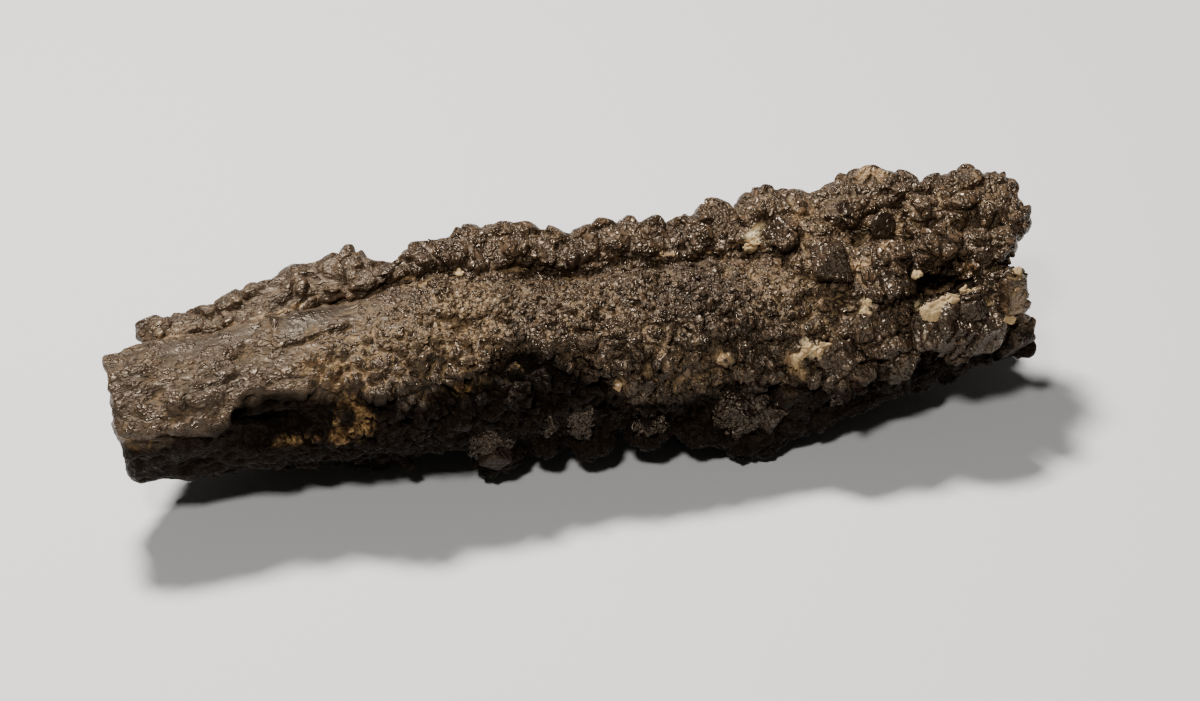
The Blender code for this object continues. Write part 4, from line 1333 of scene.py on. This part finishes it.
@dataclass
class Growth:
    """A piece grown from lumps: its own fine skin, worked and thinned.

    Attributes:
        name: the piece's name.
        rows: the lumps.
        seed: a number that gives the lumps their shapes.
        relief: the relief of its skin.
        voxel: width of the skin's faces while it is worked, in mm.
        triangles: how many triangles it keeps.
        swell: how much larger than its row a lump is made.
        sharpness: how much the creases are deepened.
        melts: how many times the creases between the lumps are filled first.
        dusty: how much dust lies in its hollows.
        shaded: how strongly shade is painted on its underside.
    """

    name: str
    rows: LumpRows
    seed: int
    relief: Relief
    voxel: float = 0.14
    triangles: int = 150_000
    swell: float = 1.0
    sharpness: float = 0.5
    melts: int = 0
    dusty: float = 1.0
    shaded: float = 1.0

    def build(self) -> bpy.types.Object:
        """Models the piece.

        Returns:
            The finished piece.
        """
        obj = join(make_lumps(self.rows, self.seed, self.swell))
        obj.name = obj.data.name = self.name
        remesh(obj, self.voxel)
        skin = Skin(obj)
        log.info("%s: %d points while it is worked", self.name, len(skin.points))
        for _ in range(self.melts):
            skin.melt(1.0)
        skin.points = ROD.settle(skin.points)
        skin.sharpen(self.sharpness, 24)
        skin.push(self.relief.height(skin.points))
        skin.rest()
        thin(obj, self.triangles)
        mark_ground(Skin(obj), self.dusty, self.shaded)
        return obj


@dataclass
class Crystals:
    """The crystals that stand out of the crowd, with their stepped faces.

    Attributes:
        rows: kind, middle, half sizes and turns of each.
        roughness: how far their faces are from flat, in mm.
        plates: how many plates a sheaf has.
        steps: how many steps a pyramid has on each side.
    """

    rows: CrystalRows
    roughness: float = 0.05
    plates: int = 8
    steps: int = 6

    def build(self) -> bpy.types.Object:
        """Models the crystals.

        Returns:
            All of them as one piece.
        """
        masters = {kind: self.master(kind) for kind in Crystal}
        made = []
        for kind, place, sizes, turns in self.rows:
            crystal = link("crystals", masters[kind].data.copy())
            turn = Euler([math.radians(angle) for angle in turns]).to_matrix().to_4x4()
            size = Matrix.Diagonal((*[size * MM for size in sizes], 1.0))
            crystal.data.transform(Matrix.Translation(Vector(place) * MM) @ turn @ size)
            made.append(crystal)
        for master in masters.values():
            bpy.data.objects.remove(master)
        obj = join(made)
        skin = Skin(obj)
        moved = [noise(skin.points, 1.3, 201 + axis, 2) for axis in range(3)]
        skin.points = skin.points + self.roughness * 2.0 * np.stack(moved, axis=1)
        skin.write()
        mark_ground(Skin(obj), dusty=0.3, shaded=0.4)
        return obj

    def master(self, kind: Crystal) -> bpy.types.Object:
        """Models one crystal.

        Args:
            kind: which kind.

        Returns:
            The crystal, one unit from its middle to its tip or face.
        """
        bpy.ops.object.select_all(action="DESELECT")
        if kind is Crystal.CUBE:
            bpy.ops.mesh.primitive_cube_add(size=1.84)
            bevel_and_divide(bevel=0.22, segments=2, cuts=7)
        elif kind is Crystal.DISC:
            self.round_disc()
        elif kind is Crystal.SHEAF:
            self.stand_plates()
            bevel_and_divide(bevel=0.03, segments=1, cuts=4)
        else:
            self.step_pyramids()
        return bpy.context.active_object

    def round_disc(self) -> None:
        """Models a disc with rounded edges."""
        bpy.ops.mesh.primitive_cylinder_add(vertices=28, radius=1.0, depth=1.2)
        bpy.ops.object.mode_set(mode="EDIT")
        bpy.ops.mesh.select_all(action="SELECT")
        bpy.ops.mesh.bevel(offset=0.3, segments=3)
        bpy.ops.mesh.quads_convert_to_tris()
        bpy.ops.mesh.subdivide(number_cuts=2)
        bpy.ops.object.mode_set(mode="OBJECT")

    def stand_plates(self) -> bpy.types.Object:
        """Stands plates of uneven height side by side.

        Returns:
            The plates, as one object.
        """
        stood = []
        for number in range(self.plates):
            middle = (number + 0.5) * 2.0 / self.plates - 1.0
            bpy.ops.object.select_all(action="DESELECT")
            bpy.ops.mesh.primitive_cube_add(size=1.0)
            low = 0.16 * math.sin(2.3 * number) + 0.30 * middle**2
            turn = 0.10 * math.sin(1.7 * number)
            bpy.ops.transform.resize(value=(2.2 / self.plates, 2.0 - 1.4 * low, 2.0 - 2.0 * low))
            bpy.ops.transform.rotate(value=turn, orient_axis="Z", center_override=(0.0, 0.0, 0.0))
            bpy.ops.transform.translate(value=(middle, 0.06 * math.cos(3.1 * number), 0.0))
            bpy.ops.object.transform_apply(location=True, rotation=True, scale=True)
            stood.append(bpy.context.active_object)
        return join(stood)

    def step_pyramids(self) -> None:
        """Draws both caps of a low prism out in steps that end in a tip."""
        bpy.ops.mesh.primitive_cylinder_add(vertices=4, radius=1.0, depth=0.10)
        bpy.ops.object.mode_set(mode="EDIT")
        for side in (1.0, -1.0):
            self.step_cap(bpy.context.active_object.data, side)
        bpy.ops.mesh.select_all(action="SELECT")
        bpy.ops.mesh.subdivide(number_cuts=4)
        bpy.ops.object.mode_set(mode="OBJECT")

    def step_cap(self, mesh: bpy.types.Mesh, side: float) -> None:
        """Draws one cap of the prism out.

        Args:
            mesh: the prism's mesh, in edit mode.
            side: 1 for the upper cap, -1 for the lower one.
        """
        bpy.ops.mesh.select_all(action="DESELECT")
        bm = bmesh.from_edit_mesh(mesh)
        for face in bm.faces:
            face.select = face.normal.z * side > 0.9
        bmesh.update_edit_mesh(mesh)
        rise = (0.0, 0.0, side * 0.95 / self.steps)
        left = 1.0
        for step in range(self.steps):
            shrunk = 1.0 - (step + 1) / (self.steps + 0.6)
            bpy.ops.mesh.inset(thickness=0.03, depth=0.0)
            bpy.ops.mesh.extrude_region_move(TRANSFORM_OT_translate={"value": rise})
            bpy.ops.transform.resize(value=(shrunk / left, shrunk / left, 1.0))
            left = shrunk


@dataclass
class GrainCrust:
    """The crust of small crystals that covers the rod between its worn end and its crystal end.

    Attributes:
        body: the rod, already built.
        size: the distance between grains on the lit side, in mm.
        seed: a number that gives the grains their places and shapes.
        lit: the lit side, in degrees round the rod.
        lower_front: the lower front, in degrees round the rod.
        front: all but the back and the underside, in degrees round the rod.
        along: where the crust covers the rod, as x in mm.
        floor_gap: how high above the floor it starts and is all there, in mm.
        corners: how far out a grain's corners stand, at least and at most.
        sides: how long it is along each axis, at least and at most.
        reach: how large it is in its cell, at least and at most.
        sunk: how deep it is sunk in the ground, in its own sizes, at least and at most.
        flattened: how much flatter it is than it is wide.
    """

    body: RodBody
    size: float = 0.84
    seed: int = 31
    lit: Zone = ((40.0, 52.0), (100.0, 106.0))
    lower_front: Zone = ((-25.0, -5.0), (38.0, 56.0))
    front: Zone = ((-62.0, -48.0), (150.0, 160.0))
    along: Zone = ((-29.0, -19.0), (22.0, 29.0))
    floor_gap: tuple[float, float] = (0.5, 1.5)
    corners: tuple[float, float] = (0.70, 1.25)
    sides: tuple[float, float] = (0.65, 1.25)
    reach: tuple[float, float] = (0.46, 0.80)
    sunk: tuple[float, float] = (0.15, 0.70)
    flattened: float = 0.25

    def build(self) -> bpy.types.Object:
        """Sets a grain in every cell of the rod's skin that the crust covers.

        Returns:
            The crust as one piece.
        """
        points, facing = self.body.ground, self.body.facing
        clock = ROD.clock(points) + 14.0 * noise(points, 5.0, 78, 2)
        zones = (
            (between(clock, self.lit), self.size),
            (0.45 * between(clock, self.lower_front), 1.15 * self.size),
            (1.0 - between(clock, self.front), 1.4 * self.size),
        )
        chosen, sizes = [], []
        for zone, size in zones:
            found = self.choose(points, size, zone * self.cover(points))
            chosen.append(found)
            sizes.append(np.full(len(found), size))
        numbers = np.concatenate(chosen)
        log.info("crust: %d grains", len(numbers))
        return self.set_grains(points[numbers], facing[numbers], np.concatenate(sizes))

    def cover(self, points: np.ndarray) -> np.ndarray:
        """Finds how thickly the crust covers the rod.

        Args:
            points: places in mm.

        Returns:
            A number from 0 to 1 for each point.
        """
        start, end = self.along
        patchy = 0.80 + 0.60 * noise(points, 4.0, 77, 2)
        started = patchy * smoothstep(ROD.leaning(points), *start)
        return started * (1.0 - smoothstep(points[:, 0], *end)) * smoothstep(points[:, 2], *self.floor_gap)

    def choose(self, points: np.ndarray, size: float, cover: np.ndarray) -> np.ndarray:
        """Picks the point nearest the middle of each cell, where the crust covers it.

        Args:
            points: places in mm.
            size: how wide the cells are, in mm.
            cover: how thickly the crust covers each point.

        Returns:
            The numbers of the picked points.
        """
        found = grains(drifted(points, 3.0, 0.3, 41), size, self.seed)
        order = np.argsort(found.near)
        _, first = np.unique(found.cell[order], axis=0, return_index=True)
        chosen = order[first]
        lucky = cover[chosen] > 0.15 + 0.75 * hashed(found.cell[chosen], 99)
        return chosen[(found.near[chosen] < 0.5) & lucky]

    def set_grains(self, places: np.ndarray, facing: np.ndarray, sizes: np.ndarray) -> bpy.types.Object:
        """Copies a small angular grain to each place, half sunk in the ground, and marks the crust.

        Args:
            places: where the grains sit, in mm.
            facing: the direction that the ground faces there.
            sizes: how wide each grain's cell is, in mm.

        Returns:
            The crust as one piece.
        """
        bpy.ops.object.select_all(action="DESELECT")
        bpy.ops.mesh.primitive_ico_sphere_add(subdivisions=1, radius=1.0)
        master = bpy.context.active_object
        unit = Skin(master).points * MM
        faces = np.array([polygon.vertices[:] for polygon in master.data.polygons])
        bpy.data.objects.remove(master)
        rng = np.random.default_rng(self.seed)
        count = len(places)
        shapes = unit[None] * rng.uniform(*self.corners, (count, len(unit), 1))
        shapes = shapes * rng.uniform(*self.sides, (count, 1, 3))
        angles = rng.uniform(-KNOB_TURN, KNOB_TURN, (count, 3))
        turns = np.array([Euler(three).to_matrix() for three in angles])
        shapes = np.einsum("nij,nkj->nki", turns, shapes)
        reach = sizes * rng.uniform(*self.reach, count)
        shapes = shapes * reach[:, None, None]
        flatter = (shapes * facing[:, None, :]).sum(axis=2, keepdims=True) * facing[:, None, :]
        shapes = shapes - self.flattened * flatter
        middles = places - facing * (reach * rng.uniform(*self.sunk, count))[:, None]
        corners = (middles[:, None, :] + shapes).reshape(-1, 3)
        numbers = (faces[None] + (np.arange(count) * len(unit))[:, None, None]).reshape(-1, 3)
        mesh = bpy.data.meshes.new("grain_crust")
        mesh.from_pydata((corners * MM).tolist(), [], numbers.tolist())
        obj = link("grain_crust", mesh)
        out = ((shapes * facing[:, None, :]).sum(axis=2) / reach[:, None]).reshape(-1)
        self.mark_grains(Skin(obj), out)
        return obj

    def mark_grains(self, skin: Skin, out: np.ndarray) -> None:
        """Marks the ground between the grains as hollow, their tips as tops, and the dust on the lit side.

        Args:
            skin: the crust's skin.
            out: how far each of its points stands out, in grain sizes.
        """
        mark_ground(skin)
        lit = 1.0 - smoothstep(-ROD.clock(skin.points) + 8.0 * noise(skin.points, 5.0, 34, 2), -46.0, -22.0)
        patches = np.clip(0.5 + 0.9 * noise(skin.points, 7.0, 31, 2), 0.0, 1.0)
        # the finish lays dust and paints shade where this marks a hollow
        skin.mark("hollow", 0.9 - 1.1 * out)
        skin.mark("top", out)
        skin.mark("dust", lit * patches * (0.75 - 0.9 * out))


# ---------------------------------------------------------------- finishes


class Nodes:
    """Adds nodes to a material and joins them."""

    def __init__(self, name: str) -> None:
        """Starts a material.

        Args:
            name: the material's name.
        """
        self.material = bpy.data.materials.new(name)
        self.material.use_nodes = True
        self.tree = self.material.node_tree
        self.shader = self.tree.nodes["Principled BSDF"]

    def add(self, kind: str, **settings: object) -> bpy.types.Node:
        """Adds a node.

        Args:
            kind: its type.
            settings: its properties.

        Returns:
            The node.
        """
        node = self.tree.nodes.new(kind)
        for name, value in settings.items():
            setattr(node, name, value)
        return node

    def feed(self, node: bpy.types.Node, **sources: object) -> None:
        """Joins a node's sockets to other nodes' outputs, or sets their values.

        Args:
            node: the node.
            sources: what goes into each socket, by its name with _ for each space.
        """
        for name, source in sources.items():
            self.put(node.inputs[name.replace("_", " ")], source)

    def put(self, socket: bpy.types.NodeSocket, source: object) -> None:
        """Joins a socket to another node's output, or sets its value.

        Args:
            socket: the socket.
            source: the output or the value.
        """
        if isinstance(source, bpy.types.NodeSocket):
            self.tree.links.new(source, socket)
        else:
            socket.default_value = source

    def place(self) -> bpy.types.NodeSocket:
        """The point on the object, in its own coordinates."""
        return self.add("ShaderNodeTexCoord").outputs["Object"]

    def mark(self, name: str) -> bpy.types.NodeSocket:
        """The value that the mesh keeps under that name."""
        return self.add("ShaderNodeAttribute", attribute_name=name).outputs["Fac"]

    def noise(self, size: float, detail: float = 3.0, rough: float = 0.55) -> bpy.types.NodeSocket:
        """Adds noise.

        Args:
            size: how wide its features are, in mm.
            detail: how many finer layers it has.
            rough: how strong they are.

        Returns:
            The noise, from 0 to 1.
        """
        node = self.add("ShaderNodeTexNoise")
        self.feed(node, Vector=self.place(), Scale=1.0 / (size * MM), Detail=detail, Roughness=rough)
        return node.outputs["Fac"]

    def cells(self, size: float) -> bpy.types.NodeSocket:
        """Adds cells.

        Args:
            size: how wide they are, in mm.

        Returns:
            The distance to the middle of the cell.
        """
        node = self.add("ShaderNodeTexVoronoi", feature="F1")
        self.feed(node, Vector=self.place(), Scale=1.0 / (size * MM))
        return node.outputs["Distance"]

    def creases(self, size: float, drawn: float = 1.0) -> bpy.types.NodeSocket:
        """Adds thin winding creases between folds.

        Args:
            size: how wide the folds are, in mm.
            drawn: how far they are drawn out along the rod.

        Returns:
            1 in a crease, 0 on a fold.
        """
        mapping = self.add("ShaderNodeMapping")
        self.feed(mapping, Vector=self.place(), Rotation=(0.0, 0.32, 0.0), Scale=(1.0 / drawn, 1.0, 1.0))
        node = self.add("ShaderNodeTexNoise")
        self.feed(node, Vector=mapping.outputs["Vector"], Scale=1.0 / (size * MM), Detail=2.0)
        away = self.maths("ABSOLUTE", self.maths("SUBTRACT", node.outputs["Fac"], 0.5))
        return self.ramp(away, 0.0, 0.13, 1.0, 0.0)

    def maths(self, operation: str, first: object, second: object = 0.0) -> bpy.types.NodeSocket:
        """Does one sum.

        Args:
            operation: which.
            first: its first number.
            second: its second number.

        Returns:
            The result.
        """
        node = self.add("ShaderNodeMath", operation=operation)
        self.put(node.inputs[0], first)
        self.put(node.inputs[1], second)
        return node.outputs[0]

    def times(self, first: object, second: object) -> bpy.types.NodeSocket:
        """The product of two numbers."""
        return self.maths("MULTIPLY", first, second)

    def ramp(
        self, value: object, low: float, high: float, start: float = 0.0, end: float = 1.0
    ) -> bpy.types.NodeSocket:
        """Takes a value from one range to another, and keeps it there.

        Args:
            value: the value.
            low: where the first range starts.
            high: where it ends.
            start: where the second range starts.
            end: where it ends.

        Returns:
            The new value.
        """
        node = self.add("ShaderNodeMapRange", clamp=True)
        for socket, source in zip(node.inputs[:5], (value, low, high, start, end)):
            self.put(socket, source)
        return node.outputs["Result"]

    def mix(self, share: object, first: object, second: object) -> bpy.types.NodeSocket:
        """Mixes two colours.

        Args:
            share: how much of the second one shows.
            first: the first.
            second: the second.

        Returns:
            The mix.
        """
        node = self.add("ShaderNodeMix", data_type="RGBA", blend_type="MIX")
        sockets = {socket.identifier: socket for socket in node.inputs}
        for name, source in (("Factor_Float", share), ("A_Color", first), ("B_Color", second)):
            self.put(sockets[name], source)
        return next(socket for socket in node.outputs if socket.identifier == "Result_Color")

    def bump(self, height: object, depth: float, strength: float = 1.0, **settings: object) -> bpy.types.Node:
        """Adds a bump.

        Args:
            height: its pattern.
            depth: how deep it is, in mm.
            strength: how much of it shows.
            settings: its other properties.

        Returns:
            The node.
        """
        node = self.add("ShaderNodeBump", **settings)
        self.feed(node, Height=height, Strength=strength, Distance=depth * MM)
        return node


@dataclass(frozen=True)
class OxideFinish:
    """Dark brown iron oxide, shiny on its tops and dusty in its hollows, with shade painted into its creases and
    hollows and over its shaded underside.

    Attributes:
        name: the material's name.
        pitch: painted shade, the near-black colour laid over the shaded underside.
        deep: a dark colour laid at random and on the calm ground, and as painted shade in creases and hollows.
        brown: the darker of its two main colours.
        warm: the lighter of its two main colours.
        dust: the dust in its hollows.
        ochre: the lighter colour of the ochre stains.
        rust: the darker colour of the ochre stains.
        chalk: the chalk that stains it.
        gloss: the colour of its shine on the lit side.
        shade: painted shade on its shine, the dark colour the shine takes on the shaded underside.
        level: how strong its shine is.
        index: its index of refraction.
        shine: how much smoother it is than the rod.
        fine: how strong its fine grain is, against the rod's.
        folds: how deep its creases are, against the rod's.
    """

    name: str = "iron_oxide"
    pitch: Colour = (0.0026, 0.0015, 0.0010, 1.0)
    deep: Colour = (0.006, 0.0034, 0.0022, 1.0)
    brown: Colour = (0.050, 0.028, 0.015, 1.0)
    warm: Colour = (0.108, 0.065, 0.034, 1.0)
    dust: Colour = (0.280, 0.174, 0.082, 1.0)
    ochre: Colour = (0.350, 0.215, 0.085, 1.0)
    rust: Colour = (0.120, 0.052, 0.020, 1.0)
    chalk: Colour = (0.560, 0.430, 0.240, 1.0)
    gloss: Colour = (1.0, 0.81, 0.60, 1.0)
    shade: Colour = (0.22, 0.16, 0.11, 1.0)
    level: float = 0.44
    index: float = 1.6
    shine: float = 0.0
    fine: float = 1.0
    folds: float = 1.0

    def make(self) -> bpy.types.Material:
        """Builds the material.

        Returns:
            The material.
        """
        nodes = Nodes(self.name)
        speck = nodes.noise(0.55, 4.0, 0.6)
        dusty = nodes.times(nodes.ramp(nodes.mark("dust"), 0.10, 0.75), nodes.ramp(speck, 0.35, 0.65, 0.25, 0.95))
        crease = self.crease(nodes)
        nodes.feed(
            nodes.shader,
            Base_Color=self.colour(nodes, crease, dusty, speck),
            Roughness=self.roughness(nodes, dusty),
            Specular_IOR_Level=self.level,
            IOR=self.index,
            # painted shade: the shine is darkened on the shaded underside
            Specular_Tint=nodes.mix(nodes.mark("under"), self.gloss, self.shade),
        )
        wrinkles = nodes.bump(crease, 0.24 * self.folds, invert=True)
        grain = nodes.maths("ADD", nodes.noise(0.55, 5.0, 0.62), nodes.times(nodes.cells(0.55), 0.8))
        bump = nodes.bump(grain, 0.13 * self.fine, 0.9)
        nodes.feed(bump, Normal=wrinkles.outputs["Normal"])
        nodes.feed(nodes.shader, Normal=bump.outputs["Normal"])
        return nodes.material

    def crease(self, nodes: Nodes) -> bpy.types.NodeSocket:
        """Winds creases over the ground, drawn out along the rod on its worn end and faint where it is calm.

        Args:
            nodes: the material's nodes.

        Returns:
            1 in a crease, 0 on a fold.
        """
        flowing = nodes.times(nodes.creases(1.6, 1.9), nodes.ramp(nodes.noise(4.0), 0.4, 0.6, 0.2, 1.0))
        flowing = nodes.maths("MAXIMUM", flowing, nodes.times(nodes.creases(0.75, 1.7), 0.75))
        crease = nodes.mix(nodes.mark("worn"), nodes.creases(0.95), flowing)
        return nodes.times(crease, nodes.ramp(nodes.mark("calm"), 0.0, 1.0, 1.0, 0.25))

    def colour(self, nodes: Nodes, crease: object, dusty: object, speck: object) -> bpy.types.NodeSocket:
        """Lays the colours over one another: the stone's own colours, and painted shade in its creases and hollows and
        on its underside.

        Args:
            nodes: the material's nodes.
            crease: where the creases are.
            dusty: where the dust lies.
            speck: fine noise that breaks up the dust and the ochre.

        Returns:
            The colour.
        """
        stained = nodes.times(nodes.mark("ochre"), nodes.ramp(speck, 0.38, 0.60))
        ochre = nodes.mix(nodes.ramp(nodes.noise(0.8, 4.0), 0.35, 0.65), self.rust, self.ochre)
        layers = (
            (nodes.ramp(nodes.noise(1.3, 4.0), 0.4, 0.7, 0.0, 0.7), self.deep),
            # painted shade: the creases darkened
            (nodes.times(crease, 0.70), self.deep),
            (nodes.times(nodes.mark("calm"), 0.8), self.deep),
            # painted shade: the hollows darkened
            (nodes.ramp(nodes.mark("hollow"), 0.2, 1.0, 0.0, 0.9), self.deep),
            # painted shade: the underside below the shade line darkened
            (nodes.times(nodes.mark("under"), 0.96), self.pitch),
            (dusty, self.dust),
            (nodes.mark("tan"), self.dust),
            (stained, ochre),
            (nodes.mark("chalk"), self.chalk),
        )
        colour = nodes.mix(nodes.ramp(nodes.noise(7.0, 5.0), 0.35, 0.65), self.brown, self.warm)
        for share, layer in layers:
            colour = nodes.mix(share, colour, layer)
        return colour

    def roughness(self, nodes: Nodes, dusty: object) -> bpy.types.NodeSocket:
        """Makes tops smooth, and hollows, dust, the worn end and the shaded underside rough.

        Args:
            nodes: the material's nodes.
            dusty: where the dust lies.

        Returns:
            The roughness.
        """
        rough = nodes.ramp(nodes.noise(0.7, 5.0, 0.65), 0.3, 0.7, 0.30 - self.shine, 0.54 - self.shine)
        rough = nodes.maths("SUBTRACT", rough, nodes.times(nodes.mark("top"), 0.24 - self.shine))
        rises = (
            (nodes.mark("hollow"), 0.25),
            (dusty, 0.30),
            (nodes.mark("under"), 0.34),
            (nodes.mark("worn"), 0.14),
        )
        for share, rise in rises:
            rough = nodes.maths("ADD", rough, nodes.times(share, rise))
        return rough


OXIDE = OxideFinish()
FOLDED = OxideFinish(name="folded_oxide", fine=0.32, folds=0.9)
BARE = OxideFinish(
    name="bare_oxide",
    brown=(0.024, 0.014, 0.008, 1.0),
    warm=(0.056, 0.033, 0.019, 1.0),
    shine=0.12,
    fine=0.45,
    folds=0.5,
)
GLINTING = OxideFinish(
    name="glinting_oxide",
    brown=(0.013, 0.0075, 0.0045, 1.0),
    warm=(0.034, 0.019, 0.011, 1.0),
    shine=0.27,
    fine=0.5,
    folds=0.6,
)


@dataclass(frozen=True)
class ChalkFinish:
    """Cream chalk, stained tan in its hollows.

    Attributes:
        cream: its own colour.
        tan: the colour of its stains.
        crumb: the depth of its fine crumb, in mm.
    """

    cream: Colour = (0.370, 0.255, 0.118, 1.0)
    tan: Colour = (0.290, 0.180, 0.080, 1.0)
    crumb: float = 0.12

    def make(self) -> bpy.types.Material:
        """Builds the material.

        Returns:
            The material.
        """
        nodes = Nodes("chalk")
        stained = nodes.ramp(nodes.noise(0.9, 4.0), 0.35, 0.7)
        stained = nodes.maths("MAXIMUM", stained, nodes.ramp(nodes.mark("hollow"), 0.1, 0.9))
        nodes.feed(
            nodes.shader,
            Base_Color=nodes.mix(stained, self.cream, self.tan),
            Roughness=nodes.ramp(nodes.noise(0.3), 0.3, 0.7, 0.75, 0.95),
            Normal=nodes.bump(nodes.noise(0.25, 5.0, 0.65), self.crumb, 0.7).outputs["Normal"],
        )
        return nodes.material


# ---------------------------------------------------------------- the studio


@dataclass(frozen=True)
class Lamp:
    """A square soft light.

    Attributes:
        name: its name.
        place: where it stands, in metres.
        size: how wide it is, in metres.
        power: how strong it is, in watts.
    """

    name: str
    place: Place
    size: float
    power: float


@dataclass
class Studio:
    """A plain pale floor, soft lights and the camera.

    Attributes:
        azimuth: the camera's direction round the stone, in degrees.
        elevation: its height above the horizon, in degrees.
        distance: how far it is from its target, in metres.
        lens: its focal length in mm.
        sensor: the width of its sensor in mm.
        nearest: the nearest point that it sees, in metres.
        target: the point it looks at.
        lamps: the lights.
        room: how strong the light from all round is.
        floor: the floor's colour.
        floor_width: how wide the floor is, in metres.
    """

    azimuth: float = -15.0
    elevation: float = 33.0
    distance: float = 0.380
    lens: float = 106.6
    sensor: float = 36.0
    nearest: float = 0.01
    target: Place = (0.0022, 0.0, 0.0116)
    lamps: tuple[Lamp, ...] = (
        Lamp("key", (-0.075, 0.140, 0.43), 0.08, 5.2),
        Lamp("fill", (-0.16, -0.30, 0.40), 0.05, 1.7),
    )
    room: float = 0.05
    floor: Colour = (0.62, 0.60, 0.58, 1.0)
    floor_width: float = 4.0

    def add_floor(self) -> None:
        """Lays a wide pale floor under the stone."""
        bpy.ops.object.select_all(action="DESELECT")
        bpy.ops.mesh.primitive_plane_add(size=self.floor_width, location=(0.0, 0.0, 0.0))
        floor = bpy.context.active_object
        floor.name = "floor"
        nodes = Nodes("floor")
        nodes.feed(nodes.shader, Base_Color=self.floor, Roughness=0.8)
        floor.data.materials.append(nodes.material)

    def add_lamp(self, lamp: Lamp) -> None:
        """Hangs a light that looks at the stone.

        Args:
            lamp: the light.
        """
        data = bpy.data.lights.new(lamp.name, "AREA")
        data.size = lamp.size
        data.energy = lamp.power
        obj = bpy.data.objects.new(lamp.name, data)
        obj.location = lamp.place
        obj.rotation_mode = "QUATERNION"
        obj.rotation_quaternion = (Vector(self.target) - obj.location).to_track_quat("-Z", "Y")
        bpy.context.scene.collection.objects.link(obj)

    def add_room(self) -> None:
        """Adds soft light from all round."""
        world = bpy.data.worlds.new("room")
        world.use_nodes = True
        background = world.node_tree.nodes["Background"]
        background.inputs["Color"].default_value = (1.0, 1.0, 1.0, 1.0)
        background.inputs["Strength"].default_value = self.room
        bpy.context.scene.world = world

    def add_camera(self) -> None:
        """Sets the camera at its angle and distance from the stone."""
        azimuth, elevation = math.radians(self.azimuth), math.radians(self.elevation)
        flat = math.cos(elevation)
        back = Vector((math.sin(azimuth) * flat, -math.cos(azimuth) * flat, math.sin(elevation)))
        data = bpy.data.cameras.new("camera")
        data.lens = self.lens
        data.sensor_width = self.sensor
        data.clip_start = self.nearest
        camera = bpy.data.objects.new("camera", data)
        camera.location = Vector(self.target) + back * self.distance
        camera.rotation_mode = "QUATERNION"
        camera.rotation_quaternion = (-back).to_track_quat("-Z", "Y")
        bpy.context.scene.collection.objects.link(camera)
        bpy.context.scene.camera = camera

    def build(self) -> None:
        """Sets up floor, lights, room and camera."""
        self.add_floor()
        for lamp in self.lamps:
            self.add_lamp(lamp)
        self.add_room()
        self.add_camera()


def finish_piece(obj: bpy.types.Object, material: bpy.types.Material, smooth: bool = True) -> None:
    """Dresses a finished piece and ties it to the stone's body.

    Args:
        obj: the piece.
        material: its finish.
        smooth: whether its faces are shaded as one curved skin, or each on its own.
    """
    obj.data.materials.clear()
    obj.data.materials.append(material)
    select_only(obj)
    if smooth:
        bpy.ops.object.shade_smooth()
    else:
        bpy.ops.object.shade_flat()
    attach(obj, "root")
    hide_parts(NODE)
    log.info("piece %s: %d faces", obj.name, len(obj.data.polygons))


def growths() -> dict[str, Growth]:
    """Lists the pieces that are grown from lumps.

    Returns:
        Each piece, by its name.
    """
    knobbly = Relief(boulder=0.62, wrinkle=0.16, uneven=0.45, rough=0.04)
    crowded = Relief(block=0.10, boulder=0.90, wrinkle=0.24, uneven=0.40, rough=0.06)
    crusted = Relief(grain=0.22, block=0.44, boulder=0.45, wrinkle=0.16, rough=0.06)
    striated = Relief(boulder=0.35, wrinkle=0.14, rough=0.12, striped=0.26)
    crumbly = Relief(grain=0.08, block=0.22, rough=0.18)
    ridge, crowd = bridged(CREST_LUMPS, 2.2), bridged(CROWD_LUMPS, 1.3)
    chalk = CHALK_BLOCKS + crumbled(CHALK_PATCHES)
    pieces = (
        Growth("crest", ridge, 3, knobbly, melts=5, swell=1.06, sharpness=0.10, dusty=0.6),
        Growth("crystal_crowd", crowd, 7, crowded, melts=2, swell=1.08, sharpness=0.55),
        Growth("nodules", NODULES, 17, crusted, triangles=50_000, swell=1.16, dusty=0.1, shaded=0.0),
        Growth("dark_lumps", DARK_LUMPS, 19, striated, triangles=60_000, swell=1.08, dusty=0.4, shaded=0.2),
        Growth("chalk", chalk, 13, crumbly, voxel=0.10, triangles=40_000, swell=1.12),
    )
    return {piece.name: piece for piece in pieces}


def main() -> None:
    """Builds the stone's pieces in order, then the studio round them."""
    oxide, folded, bare, glinting = (finish.make() for finish in (OXIDE, FOLDED, BARE, GLINTING))
    chalk = ChalkFinish().make()
    grown = growths()
    body = RodBody()
    finish_piece(body.build(), oxide)
    finish_piece(GrainCrust(body).build(), oxide, smooth=False)
    finish_piece(grown["crest"].build(), folded)
    finish_piece(grown["crystal_crowd"].build(), folded)
    finish_piece(grown["nodules"].build(), glinting)
    finish_piece(grown["dark_lumps"].build(), bare)
    finish_piece(Crystals(CRYSTALS).build(), bare, smooth=False)
    finish_piece(grown["chalk"].build(), chalk)
    Studio().build()


if __name__ == "__main__":
    main()
